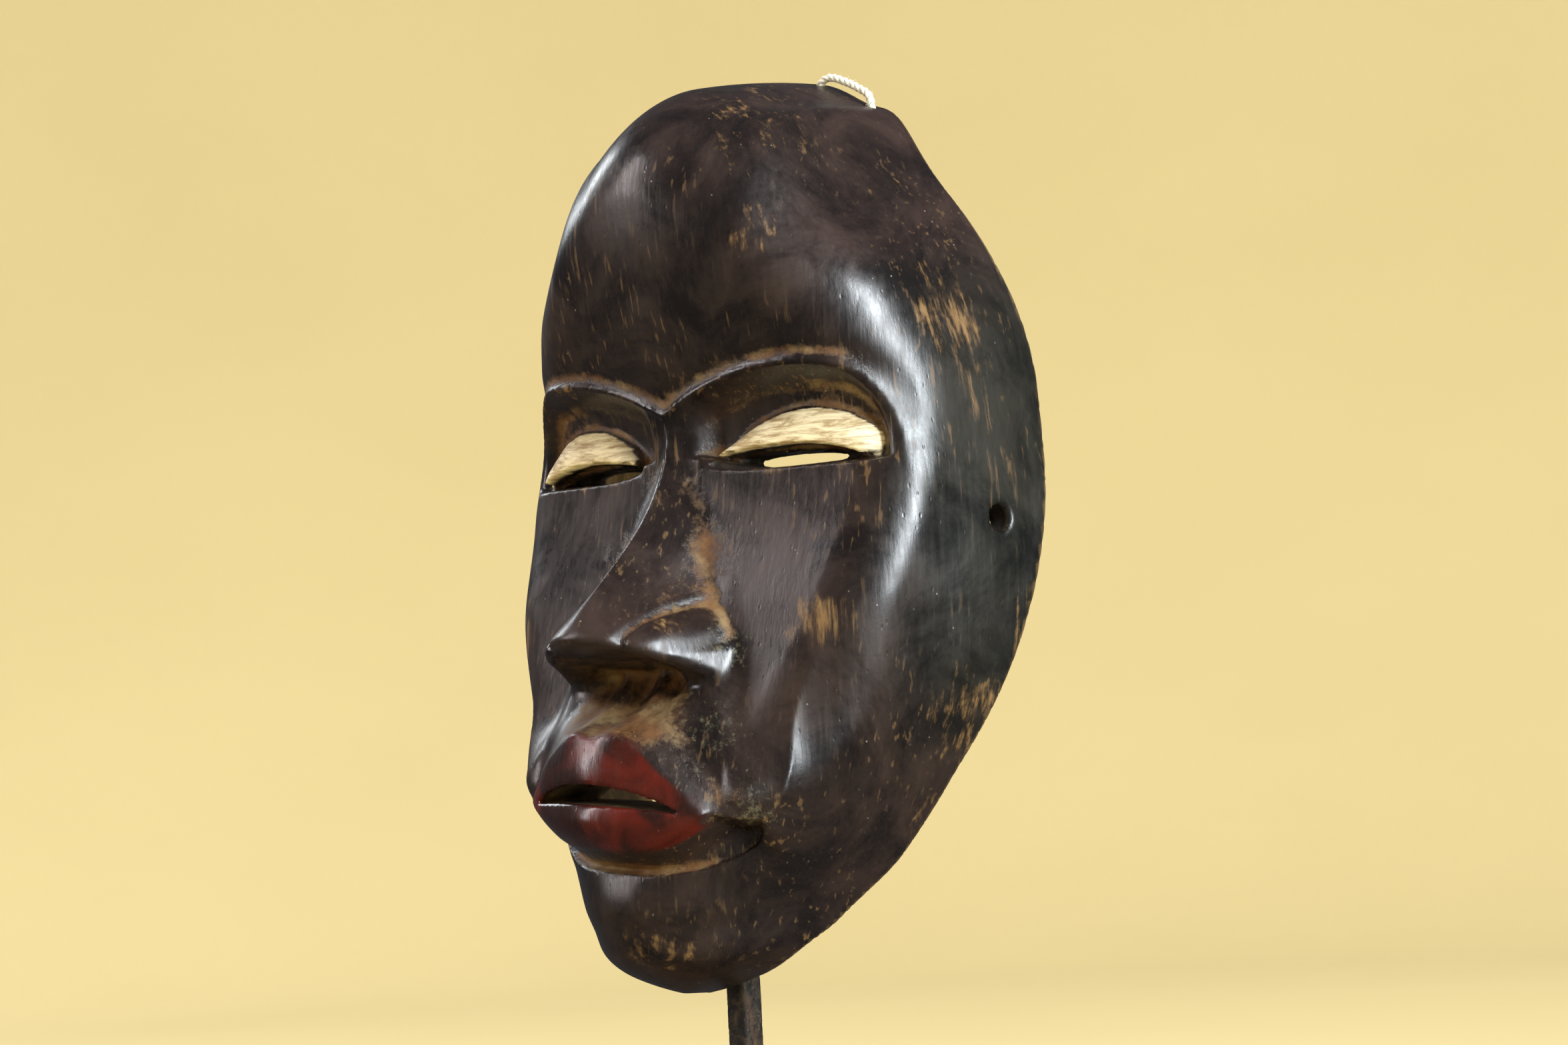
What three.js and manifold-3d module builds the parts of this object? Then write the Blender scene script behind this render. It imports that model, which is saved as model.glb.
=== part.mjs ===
// Carved wooden mask with a domed forehead, slit eyes and parted lips, hung on a small iron display stand.
// Millimetres, +Z up, the mask faces -Y. The origin is on the floor under the middle of the stand's base.
import * as THREE from "three";
import { ParametricGeometry } from "three/addons/geometries/ParametricGeometry.js";
import { mergeVertices } from "three/addons/utils/BufferGeometryUtils.js";
import Module from "manifold-3d";

const wasm = await Module();
wasm.setup();

// Driving dimensions, in millimetres
const MASK_HEIGHT = 250;
const MASK_LIFT = 228; // the mask's own level z = 0 stands this far above the floor
const MASK_BACK = 26.3; // the mask's own plane y = 0 stands this far behind the post
const CROWN_TOP = MASK_HEIGHT - 127.8;
const CHIN_END = -127.6;
const WALL = 8.5;
const MOUTH_HALF = 32;
const ARCH = 29; // how sharply the crown bends over: less is sharper
const EYE = { x: 34.4, z: 14.4, half: 13.5, up: 1.9, down: 1.5 };
const MOUTH_GAP = { z: -75, half: 26, up: 5.2, down: 0.6 };
const SIDE_HOLE = { wide: 7.4, y: 1, z: -3.9 };
const CORD = 2.3;
const CORD_HOLE = { wide: 4.6, y: 17 };
const CORD_HOLES_AT = [6.5, 25.5];
const GAP = 0.3; // clearance between pieces that touch
const BASE = { wide: 130, deep: 134, high: 18, corner: 3, bevel: 1 };
const FOOT = { radius: 7, high: 2, x: 52, y: 54 };
const POST = { side: 7.2, top: 306, sunk: 10 };
const ARM = { reach: 20, bar: 5, rise: 12.5, bend: 5 };
const SLEEVE = { ball: 6, wall: 1.6, starts: 6 };
const ARM_SCREW = { shank: 1.7, head: 3.4, high: 2.6, hole: 2.3, deep: 9 };
const BASE_SCREW = { shank: 1.9, head: 4.6, high: 3, hole: 2.3, clear: 2.7, recess: 5.2, deep: 4, reach: 18 };
const STOP = { rod: 1.7, hole: 2, at: MASK_LIFT - 30, reach: 12.6 };

// The cord's route in the mask's own frame, from the knot up through one hole and back through the other.
const CORD_ROUTE = [
  [14.2, 15.6, 90.4], [10.2, 16.4, 96.5], [7.3, 17, 104], [6.5, 17, 112], [6.5, 17, 119.5],
  [7.4, 17.1, 122.9], [10.3, 17.2, 124], [15.5, 17.2, 122.4], [20.5, 17.2, 119.9], [24.5, 17.1, 117.2],
  [25.5, 17, 113.4], [25.4, 17, 105.5], [24.9, 17, 98.5], [22.6, 16.4, 93.5], [18.4, 15.6, 90.2],
];
const KNOT = { x: 16.3, y: 15.6, z: 89.5, radius: 3 };

// ---------- small maths ----------

// A smooth curve through [height, value] stations, by cubic Hermite pieces.
function through(stations) {
  const last = stations.length - 1;
  const slope = stations.map((s, i) => {
    const a = stations[Math.max(i - 1, 0)];
    const b = stations[Math.min(i + 1, last)];
    return (b[1] - a[1]) / (b[0] - a[0]);
  });
  return (at) => {
    const t = Math.min(Math.max(at, stations[0][0]), stations[last][0]);
    let i = 0;
    while (i < last - 1 && t > stations[i + 1][0]) i++;
    const d = stations[i + 1][0] - stations[i][0];
    const u = (t - stations[i][0]) / d;
    const v = 1 - u;
    return (
      (1 + 2 * u) * v * v * stations[i][1] +
      u * v * v * d * slope[i] +
      u * u * (3 - 2 * u) * stations[i + 1][1] -
      u * u * v * d * slope[i + 1]
    );
  };
}

function clamp(value, low, high) {
  return Math.min(Math.max(value, low), high);
}

function ramp(a, b, t) {
  const u = clamp((t - a) / (b - a), 0, 1);
  return u * u * (3 - 2 * u);
}

function bell(t, width) {
  return Math.exp(-((t / width) ** 2));
}

// Two solids in common, with the edge between them rounded.
function roundBoth(a, b, r) {
  const u = Math.max(a + r, 0);
  const v = Math.max(b + r, 0);
  return Math.min(Math.max(a, b), -r) + Math.hypot(u, v);
}

// Two solids together, with a fillet of reach k.
function blendEither(a, b, k) {
  const h = Math.max(k - Math.abs(a - b), 0) / k;
  return Math.min(a, b) - (h * h * k) / 4;
}

function blendBoth(a, b, k) {
  return -blendEither(-a, -b, k);
}

// ---------- the mask's lines, each against height ----------

const rimBack = through([
  [-128, -38], [-116, -32.6], [-108, -23], [-95, -14], [-75, -4.5], [-50, 4], [-25, 12],
  [0, 19.5], [25, 24], [50, 24.5], [70, 22], [122, 22],
]);
const rimHalf = through([
  [-128, 19], [-121, 28], [-112, 34.5], [-95, 45.5], [-75, 60], [-50, 74], [-25, 80.5],
  [0, 80.5], [25, 76.7], [50, 74], [68, 72.5], [83, 69], [122, 62],
]);
const faceMiddle = through([
  [-128, -60], [-118, -67], [-110, -71], [-103, -73.5], [-94, -72.5], [-75, -66], [-50, -59],
  [-25, -53.5], [0, -47], [20, -44.5], [32, -46.5], [45, -50], [60, -53.5], [80, -57],
  [100, -57], [122, -51],
]);
const faceSlope = through([
  [-128, 0.3], [-103, 0.34], [-75, 0.16], [-50, 0.14], [-25, 0.14], [0, 0.19], [20, 0.22],
  [45, 0.19], [60, 0.16], [80, 0.18], [122, 0.25],
]);
const faceRound = through([
  [-128, 25], [-103, 20], [-75, 12], [20, 10], [45, 10], [80, 15], [122, 24],
]);
const sideSteep = through([
  [-128, 2.6], [-95, 3.2], [-75, 3.8], [-50, 3.3], [-25, 3.5], [0, 4.8], [15, 7], [45, 8],
  [80, 5], [122, 4],
]);
const crestRound = through([
  [-128, 10], [-95, 17], [-75, 12], [-50, 16], [-25, 13], [0, 13], [15, 15], [45, 26],
  [67, 30], [89, 36], [122, 40],
]);
const innerMiddle = through([
  [-128, -45], [-112, -58], [-100, -63], [-88, -63], [-70, -57], [-50, -49], [-25, -43],
  [0, -36], [20, -34], [45, -40], [60, -43], [80, -46], [122, -42],
]);
const noseRidge = through([
  [-36, -91], [-30, -87.5], [-25, -83.5], [-17, -75], [-9, -66], [0, -57], [10, -50],
  [20, -46], [27, -45],
]);
const noseHalf = through([
  [-36, 29], [-30, 27], [-24, 22.5], [-16, 18], [-5, 15], [3, 13], [12, 9], [20, 5],
  [27, 4],
]);
const nosePower = through([[-36, 2.3], [-30, 2.1], [-24, 1.6], [-15, 1.2], [0, 1.08], [27, 1.1]]);

// ---------- the mask's features, each by distance x from the middle ----------

// Height of the brow's crease.
function browLine(x) {
  const inner = 11.1 * (clamp(40 - x, 0, 40) / 40) ** 1.9;
  const outer = 21 * (clamp(x - 40, 0, 32) / 27) ** 4;
  return 39.5 - inner - outer;
}

function lipBorder(x) {
  if (x < 6.5) return -55.4 - 1.3 * bell(x, 4);
  return -55.4 - 20.8 * (Math.min(x - 6.5, 27) / 25.5) ** 1.4;
}

function mouthShare(x) {
  return Math.min(x, MOUTH_HALF) / MOUTH_HALF;
}

function lipLine(x) {
  return -74.3 - 1.9 * mouthShare(x) ** 2;
}

function lipBottom(x) {
  return lipLine(x) - 11.4 * (1 - mouthShare(x) ** 3) - 0.2;
}

function lipEdge(x) {
  return -83 + 10.5 * mouthShare(x) ** 1.7;
}

function borderEdge(x) {
  return -81 + 9 * mouthShare(x) ** 1.6;
}

function chinGroove(x) {
  return -92.3 + 11.5 * (Math.min(x, 48) / 38) ** 3.6;
}

// The brow's edge with a shallow trough above it, and the socket scooped out below.
function brow(x, z) {
  const line = browLine(x);
  const lean = browLine(x + 0.5) - browLine(Math.max(x - 0.5, 0));
  const t = (z - line) / Math.sqrt(1 + lean * lean);
  const edge = ramp(71, 64, x) * (1.1 * bell(t - 0.4, 1.8) - 0.9 * bell(t - 3.6, 2.4));
  const sill = 13 + 2.8 * (clamp(34 - x, 0, 24) / 20) ** 2;
  const socket = ramp(0.3, -7, t) * ramp(sill - 0.8, sill + 0.8, z) * ramp(68, 60, x) * ramp(5, 13, x);
  return 6.5 * socket - edge;
}

// The bulging upper lid with its crisp lower edge.
function lid(x, z) {
  const low = 18.3 - 2 * (clamp(38 - x, 0, 30) / 24) ** 2 - 4.8 * (clamp(x - 38, 0, 30) / 23) ** 2;
  const across = clamp((x - 37.5) / 24, -1, 1);
  const high = 15.5 + 13 * (1 - across * across) ** 0.6 + 2.2 * across;
  const v = clamp((z - low) / Math.max(high - low, 0.5), 0, 1);
  const body = Math.max(Math.cos((v * Math.PI) / 2), 0) ** 0.8;
  return -7 * body * ramp(low - 0.5, low + 0.5, z) * ramp(0, 0.22, 1 - across * across);
}

// The fold from nose to mouth corner, and the channel from nose to lip.
function folds(x, z) {
  const line = 24 + 19 * ramp(-38, -84, z);
  const fade = ramp(-34, -44, z) * ramp(-92, -82, z);
  const fold = fade * (3 * bell(x - line + 9.5, 5.5) - 3 * bell(x - line, 5));
  const channel = ramp(-34, -40, z) * ramp(-60, -56, z);
  return fold + channel * (3.2 * bell(x, 3.4) - 1.6 * bell(x - 7.5, 2.4));
}

// Depth of the face's broad form, before the carving on it.
function broadFace(x, z) {
  const round = faceRound(z);
  const y = faceMiddle(z) + faceSlope(z) * (Math.hypot(x, round) - round);
  return y - 9 * Math.exp(-(((x / 27) ** 2 + ((z + 62) / 16) ** 2) ** 1.5));
}

// Depth of the carved face without nose and lips.
function face(x, z) {
  const up = z - chinGroove(x);
  const groove = 3.2 * Math.exp(-Math.max(up, 0) / 11) * ramp(-2.5, 1, up) * ramp(50, 36, x);
  return broadFace(x, z) + folds(x, z) + brow(x, z) + lid(x, z) + groove;
}

function nose(x, y, z) {
  const half = noseHalf(z);
  const ridge = noseRidge(z);
  const foot = Math.max(faceMiddle(z) + 3, ridge + 4);
  const wing = Math.hypot((x - 19.8) / 0.85, z + 31);
  let side = ridge + (foot - ridge) * (x / half) ** nosePower(z);
  side += 2.6 * bell(wing - 8.2, 1.5) * ramp(-36, -32, z) - 2.6 * bell(wing, 5);
  const flank = (side - y) / Math.sqrt(2 + ((foot - ridge) / half) ** 2);
  const under = -(z + 31.5 + (y + 90) * 0.24 + 2.4 * ramp(10, 24, x)) / 1.03;
  return blendBoth(Math.max(flank, (z - 30) * 0.9, x - half - 6), under, 3);
}

// Both lips as one body standing out of the face.
function mouth(x, y, z) {
  const u = mouthShare(x);
  const s = clamp((z - lipLine(x)) / Math.max(lipBorder(x) - lipLine(x), 0.6), 0, 1);
  const r = clamp((lipLine(x) - z) / Math.max(lipLine(x) - lipBottom(x), 0.6), 0, 1);
  const upper = lipEdge(x) + (borderEdge(x) - lipEdge(x)) * s - 1.2 * Math.sin(Math.PI * s) * (1 - u * u);
  const lower = lipEdge(x) + 3.5 * r ** 2.4 - 1.6 * Math.sin(Math.PI * r) * (1 - u * u);
  const front = ((z > lipLine(x) ? upper : lower) - y) / 1.25;
  const lean = 0.32 + 0.85 * ramp(6, 26, x);
  const above = z - lipBorder(x) - (y - borderEdge(x)) * lean;
  const top = above / Math.sqrt(1.1 + lean * lean + 0.7 * ramp(4, 9, x));
  const drop = lipBottom(x) - 0.3 * Math.max(x - MOUTH_HALF, 0);
  const low = (drop - (y - lipEdge(x) - 3.5) * (0.55 - 0.2 * ramp(20, 40, x)) - z) / 1.25;
  const end = (x - MOUTH_HALF - Math.max(y + 72.3, 0) * 1.45 + 0.65 * Math.max(z + 74, 0)) / 1.9;
  return Math.max(front, top, low, end, y + 56);
}

// The height that counts at a point: the carver cut the mouth leaning down to the mask's left.
function leaned(x, z) {
  return z + 0.08 * x * ramp(-48, -66, z) * ramp(-108, -92, z) * ramp(62, 40, Math.abs(x));
}

// How far the crown's outline has dropped at a distance from the middle, and how much it slants there.
function archDrop(x) {
  return Math.sqrt(1.25 * x * x + ARCH * ARCH) - ARCH;
}

function archTilt(x) {
  return Math.sqrt(1 + ((1.25 * x) / (archDrop(x) + ARCH)) ** 2);
}

// Less than zero inside the mask's outer form, before its back is cut and it is hollowed.
function outerForm(xSigned, y, zLevel) {
  const x = Math.abs(xSigned);
  const z = leaned(xSigned, zLevel);
  const gx = (broadFace(x + 1, z) - broadFace(Math.max(x - 1, 0), z)) / 2;
  const gz = (broadFace(x, z + 1) - broadFace(x, z - 1)) / 2;
  const front = (face(x, z) - y) / Math.sqrt(1 + gx * gx + gz * gz);
  const steep = sideSteep(z);
  const behind = rimBack(z) - y;
  const taper = (rimHalf(z + 1) - rimHalf(z - 1)) / 2;
  const flank =
    (x - rimHalf(z) + behind / steep + 2.1 * bell(behind, 14)) /
    Math.sqrt(1 + 1 / (steep * steep) + taper * taper);
  const lips = roundBoth(mouth(x, y, z), flank, crestRound(z));
  let d = roundBoth(front, flank, crestRound(z));
  const dip = 2.5 * bell(x - 46, 9) - 4 * bell(x - 31, 7) + (y - 25) ** 2 / 590 - 1.4;
  const crown = (z - CROWN_TOP + archDrop(x) + dip) / archTilt(x);
  d = roundBoth(d, crown, 24);
  d = roundBoth(d, -(z - CHIN_END) + (x * x) / 300, 15);
  d = blendEither(d, nose(x, y, z), 2);
  const level = ramp(-80, -70, z);
  return blendEither(d, lips, 1.5 + 4 * level + 8 * level * ramp(8, 20, x));
}

// Less than zero inside the hollow behind the face.
function hollowForm(xSigned, y, z) {
  const x = Math.abs(xSigned);
  const steep = sideSteep(z);
  const front = (innerMiddle(z) + 0.35 * (Math.hypot(x, 16) - 16) - y) / 1.15;
  const lean = Math.max(rimBack(z) - y, 0) / steep;
  const flank = (x - (rimHalf(z) - WALL) + lean) / Math.sqrt(1 + 1 / (steep * steep));
  let d = roundBoth(front, flank, 22);
  d = roundBoth(d, (z - CROWN_TOP + 9.7 + archDrop(x)) / archTilt(x), 22);
  return roundBoth(d, -(z - CHIN_END - 10), 18);
}

// ---------- solids ----------

// The geometry with its positions alone, and points that coincide made one.
function welded(geometry) {
  const plain = geometry.clone();
  for (const name of Object.keys(plain.attributes)) if (name !== "position") plain.deleteAttribute(name);
  return mergeVertices(plain, 1e-3);
}

function solid(geometry) {
  const merged = welded(geometry);
  return new wasm.Manifold(
    new wasm.Mesh({
      numProp: 3,
      vertProperties: new Float32Array(merged.attributes.position.array),
      triVerts: new Uint32Array(merged.index.array),
    }),
  );
}

// A solid from a swept or turned surface, whichever way round its triangles came, without empty ones.
function solidFacingOut(geometry) {
  const merged = welded(geometry);
  const index = merged.index.array;
  const way = (order) => {
    const keep = [];
    for (let i = 0; i < index.length; i += 3) {
      const corners = order.map((k) => index[i + k]);
      if (new Set(corners).size === 3) keep.push(...corners);
    }
    return solid(merged.clone().setIndex(keep));
  };
  const made = way([0, 1, 2]);
  return made.volume() < 0 ? way([0, 2, 1]) : made;
}

function geometryOf(made) {
  const mesh = made.getMesh();
  const points = new Float32Array(mesh.numVert * 3);
  for (let i = 0; i < mesh.numVert; i++) {
    const at = i * mesh.numProp;
    points.set(mesh.vertProperties.subarray(at, at + 3), i * 3);
  }
  const geometry = new THREE.BufferGeometry();
  geometry.setAttribute("position", new THREE.BufferAttribute(points, 3));
  geometry.setIndex(new THREE.BufferAttribute(new Uint32Array(mesh.triVerts), 1));
  geometry.computeVertexNormals();
  return geometry;
}

// Distance from a point along a level direction to where the form ends.
function reachOf(form, y0, z, angle, far) {
  const dx = Math.sin(angle);
  const dy = -Math.cos(angle);
  const inside = (r) => form(dx * r, y0 + dy * r, z) < 0;
  let r = 0;
  while (r < far && inside(r + 1.5)) r += 1.5;
  let low = r;
  let high = r + 1.5;
  for (let i = 0; i < 14; i++) {
    const middle = (low + high) / 2;
    if (inside(middle)) low = middle;
    else high = middle;
  }
  return Math.max(low, 0.4);
}

// A closed body: level rings from a line behind the face round to the front, straight across the back.
function bodyOf(form, levels, middleAt, angles, back) {
  const across = angles.length;
  const ring = levels.map((z) => {
    const y0 = middleAt(z);
    return angles.map((a) => {
      const r = reachOf(form, y0, z, a, 150);
      return new THREE.Vector3(Math.sin(a) * r, y0 - Math.cos(a) * r, z);
    });
  });
  for (const row of ring) {
    const ends = [row[0], row[across - 1]];
    row.push(...ends.reverse().map((p) => new THREE.Vector3(p.x, p.y + back, p.z)));
  }
  const around = across + 2;
  const last = levels.length - 1;
  const centre = [0, last].map((i) => {
    const sum = new THREE.Vector3();
    for (const p of ring[i]) sum.add(p);
    return sum.divideScalar(around);
  });
  const surface = new ParametricGeometry(
    (u, v, target) => {
      const column = Math.round(u * around) % around;
      const row = Math.round(v * (last + 2));
      if (row === 0) target.copy(centre[0]);
      else if (row === last + 2) target.copy(centre[1]);
      else target.copy(ring[row - 1][column]);
    },
    around,
    last + 2,
  );
  return solidFacingOut(surface);
}

function steps(from, to, count) {
  return Array.from({ length: count }, (_, i) => from + ((to - from) * i) / count);
}

// Levels crowd where the carving is fine: the lips, under the nose, the eyes and the crown's turn.
function maskLevels() {
  return [
    -127.4, -126.4, -124.6,
    ...steps(-122, -96, 6), ...steps(-96, -86, 6), ...steps(-86, -72, 7), ...steps(-72, -50, 9),
    ...steps(-50, -39, 4), ...steps(-39, -30, 6), ...steps(-30, 11, 10), ...steps(11, 20, 7),
    ...steps(20, 46, 10), ...steps(46, 104, 7), ...steps(104, 120, 6), 120, 121.4,
  ];
}

// Angles about a line behind the face, closer together at the front.
function fan(half, crowd) {
  return Array.from({ length: 2 * half + 1 }, (_, i) => {
    const s = i / half - 1;
    return (Math.PI / 2) * (s * (1 - crowd) + s * Math.abs(s) * crowd);
  });
}

// A flat outline in X and Z, pushed along Y.
function slab(shape, from, to, sides) {
  const geometry = new THREE.ExtrudeGeometry(shape, {
    depth: to - from,
    bevelEnabled: false,
    curveSegments: sides,
  });
  geometry.rotateX(Math.PI / 2);
  geometry.translate(0, to, 0);
  return solid(geometry);
}

// A lens between two arcs, for the eyes and the mouth.
function lens(x, { z, half, up, down }) {
  const shape = new THREE.Shape();
  shape.moveTo(x - half, z);
  shape.quadraticCurveTo(x, z - 2 * down, x + half, z);
  shape.quadraticCurveTo(x, z + 2 * up, x - half, z);
  return shape;
}

// A round bar or hole with its middle at a point, along the direction given.
function round(radius, length, sides, [x, y, z], along = "z") {
  const geometry = new THREE.CylinderGeometry(radius, radius, length, sides);
  if (along === "z") geometry.rotateX(Math.PI / 2);
  if (along === "x") geometry.rotateZ(Math.PI / 2);
  return solid(geometry.translate(x, y, z));
}

function maskSolid() {
  const hollowLevels = [...steps(-117, -104, 4), ...steps(-104, 92, 14), ...steps(92, 112, 5), 112.2];
  const hollow = bodyOf(hollowForm, hollowLevels, (z) => rimBack(z) + 3, fan(10, 0.1), 14);
  let made = bodyOf(outerForm, maskLevels(), rimBack, fan(20, 0.4), 0.05).subtract(hollow);
  for (const side of [-1, 1]) {
    made = made.subtract(slab(lens(side * EYE.x, EYE), -70, -15, 5));
    made = made.subtract(round(SIDE_HOLE.wide / 2, 50, 16, [side * 80, SIDE_HOLE.y, SIDE_HOLE.z], "x"));
  }
  made = made.subtract(slab(lens(0, MOUTH_GAP), -100, -40, 7));
  for (const x of CORD_HOLES_AT) {
    made = made.subtract(round(CORD_HOLE.wide / 2, 34, 10, [x, CORD_HOLE.y, 110]));
  }
  return made;
}

// ---------- the cord ----------

function cordSolid() {
  const points = CORD_ROUTE.map((p) => new THREE.Vector3(...p));
  const path = new THREE.CatmullRomCurve3(points, false, "centripetal");
  const strand = solid(
    new THREE.ExtrudeGeometry(disc(CORD / 2), {
      steps: 28, extrudePath: path, bevelEnabled: false, curveSegments: 4,
    }),
  );
  const ball = new THREE.SphereGeometry(KNOT.radius, 10, 7).scale(1.25, 0.95, 1);
  return strand.add(solid(ball.translate(KNOT.x, KNOT.y, KNOT.z)));
}

// ---------- the stand ----------

const BASE_TOP = FOOT.high + BASE.high;
const ARM_AT = POST.top + GAP + ARM.bar / 2;
const ARM_TIP = ARM_AT + ARM.rise;

function disc(radius) {
  const shape = new THREE.Shape();
  shape.absarc(0, 0, radius, 0, 2 * Math.PI);
  return shape;
}

// The base block with softened edges, a square socket for the post and a screw hole from below.
function baseSolid() {
  const w = BASE.wide / 2;
  const d = BASE.deep / 2;
  const r = BASE.corner;
  const shape = new THREE.Shape();
  shape.moveTo(-w + r, -d);
  shape.lineTo(w - r, -d);
  shape.absarc(w - r, -d + r, r, -Math.PI / 2, 0);
  shape.lineTo(w, d - r);
  shape.absarc(w - r, d - r, r, 0, Math.PI / 2);
  shape.lineTo(-w + r, d);
  shape.absarc(-w + r, d - r, r, Math.PI / 2, Math.PI);
  shape.lineTo(-w, -d + r);
  shape.absarc(-w + r, -d + r, r, Math.PI, 1.5 * Math.PI);
  const plate = new THREE.ExtrudeGeometry(shape, {
    depth: BASE.high - 2 * BASE.bevel,
    bevelEnabled: true,
    bevelThickness: BASE.bevel,
    bevelSize: BASE.bevel,
    bevelOffset: -BASE.bevel,
    bevelSegments: 1,
    curveSegments: 3,
  });
  const body = solid(plate.translate(0, 0, FOOT.high + BASE.bevel));
  const socket = POST.side + 2 * GAP;
  const square = new THREE.BoxGeometry(socket, socket, 2 * POST.sunk).translate(0, 0, BASE_TOP);
  return body
    .subtract(solid(square))
    .subtract(round(BASE_SCREW.clear, 2 * BASE.high, 16, [0, 0, FOOT.high]))
    .subtract(round(BASE_SCREW.recess, 2 * BASE_SCREW.deep, 20, [0, 0, FOOT.high]));
}

function footSolid(x, y) {
  const high = FOOT.high - GAP;
  return round(FOOT.radius, high, 20, [x, y, high / 2]);
}

// The post: a square bar, tapped at its foot for the base's screw and at its top for the arm's screw,
// and drilled across at the front for the stop rod.
function postSolid() {
  const from = BASE_TOP - POST.sunk + GAP;
  const bar = new THREE.BoxGeometry(POST.side, POST.side, POST.top - from);
  return solid(bar.translate(0, 0, (POST.top + from) / 2))
    .subtract(round(BASE_SCREW.hole, 24, 16, [0, 0, from]))
    .subtract(round(STOP.hole, 2 * (ARM_SCREW.deep + 1), 16, [0, 0, POST.top]))
    .subtract(round(STOP.hole, 12, 16, [0, -POST.side / 2, STOP.at], "y"));
}

// A cylinder-headed screw with its socket, its head below (sense -1) or above (sense 1) the seat.
function screwSolid({ shank, head, high }, tip, seat, sense) {
  const top = seat + sense * high;
  const dip = seat + (sense * high) / 2;
  const profile = [
    [0, tip], [shank, tip], [shank, seat], [head, seat], [head, top], [head * 0.55, top],
    [head * 0.5, dip], [0, dip],
  ].map(([r, z]) => new THREE.Vector2(r, z));
  return solidFacingOut(new THREE.LatheGeometry(profile, 14).rotateX(Math.PI / 2));
}

// The arm lies across the post's top, and its ends turn up to carry the mask's crown.
function armSolid() {
  const half = ARM.reach;
  const bend = ARM.bend;
  const at = (x, up) => new THREE.Vector3(x, 0, ARM_AT + up);
  const path = new THREE.CurvePath();
  path.add(new THREE.LineCurve3(at(-half, ARM.rise), at(-half, bend)));
  path.add(new THREE.QuadraticBezierCurve3(at(-half, bend), at(-half, 0), at(bend - half, 0)));
  path.add(new THREE.LineCurve3(at(bend - half, 0), at(half - bend, 0)));
  path.add(new THREE.QuadraticBezierCurve3(at(half - bend, 0), at(half, 0), at(half, bend)));
  path.add(new THREE.LineCurve3(at(half, bend), at(half, ARM.rise)));
  const bar = solid(
    new THREE.ExtrudeGeometry(disc(ARM.bar / 2), {
      steps: 16, extrudePath: path, bevelEnabled: false, curveSegments: 5,
    }),
  );
  const middle = [0, 0, ARM_AT];
  return bar.add(round(POST.side / 2, ARM.bar, 20, middle)).subtract(round(ARM_SCREW.hole, 12, 16, middle));
}

// A soft sleeve with a ball end, pushed over an arm's tip.
function sleeveSolid(x) {
  const low = ARM_AT + SLEEVE.starts;
  const top = ARM_TIP + GAP;
  const inner = ARM.bar / 2 + GAP;
  const centre = top - 1.2;
  const first = -0.5;
  const rounds = 8;
  const cover = [];
  for (let i = 0; i < rounds; i++) {
    const a = first + ((Math.PI / 2 - first) * i) / rounds;
    cover.push([SLEEVE.ball * Math.cos(a), centre + SLEEVE.ball * Math.sin(a)]);
  }
  const profile = [
    [0, top], [inner, top], [inner, low], [inner + SLEEVE.wall, low], ...cover, [0, centre + SLEEVE.ball],
  ].map(([r, z]) => new THREE.Vector2(r, z));
  return solidFacingOut(new THREE.LatheGeometry(profile, 14).rotateX(Math.PI / 2).translate(x, 0, 0));
}

// The stop rod points forward from the post and steadies the mask behind its nose.
function stopSolid() {
  const length = STOP.reach - 3.2;
  return round(STOP.rod, length, 16, [0, -0.2 - length / 2, STOP.at], "y");
}

// A soft cap over the rod's front end, hollow behind.
function stopSleeveSolid() {
  const profile = [[0, 1.9], [2, 1.9], [2, -3.2], [3.2, -3.2], [3.2, 2.4], [2.2, 4.2], [0, 4.8]]
    .map(([r, y]) => new THREE.Vector2(r, y));
  const cap = new THREE.LatheGeometry(profile, 16).rotateX(Math.PI);
  return solidFacingOut(cap.translate(0, 4.6 - STOP.reach, STOP.at));
}

// ---------- materials and assembly ----------

const wood = new THREE.MeshStandardMaterial({ color: 0x2a1f1c, roughness: 0.38, metalness: 0 });
const cotton = new THREE.MeshStandardMaterial({ color: 0xd9d5c8, roughness: 0.95, metalness: 0 });
const iron = new THREE.MeshStandardMaterial({ color: 0x2b2622, roughness: 0.7, metalness: 0.8 });
const lacquer = new THREE.MeshStandardMaterial({ color: 0x1b1918, roughness: 0.5, metalness: 0 });
const steel = new THREE.MeshStandardMaterial({ color: 0x4a4744, roughness: 0.45, metalness: 0.9 });
const rubber = new THREE.MeshStandardMaterial({ color: 0x1d1d1e, roughness: 0.85, metalness: 0 });
const felt = new THREE.MeshStandardMaterial({ color: 0x26332b, roughness: 1, metalness: 0 });

const group = new THREE.Group();

function put(name, made, material, onMask) {
  const mesh = new THREE.Mesh(geometryOf(made), material.clone());
  mesh.name = name;
  if (onMask) mesh.position.set(0, MASK_BACK, MASK_LIFT);
  group.add(mesh);
}

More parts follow.
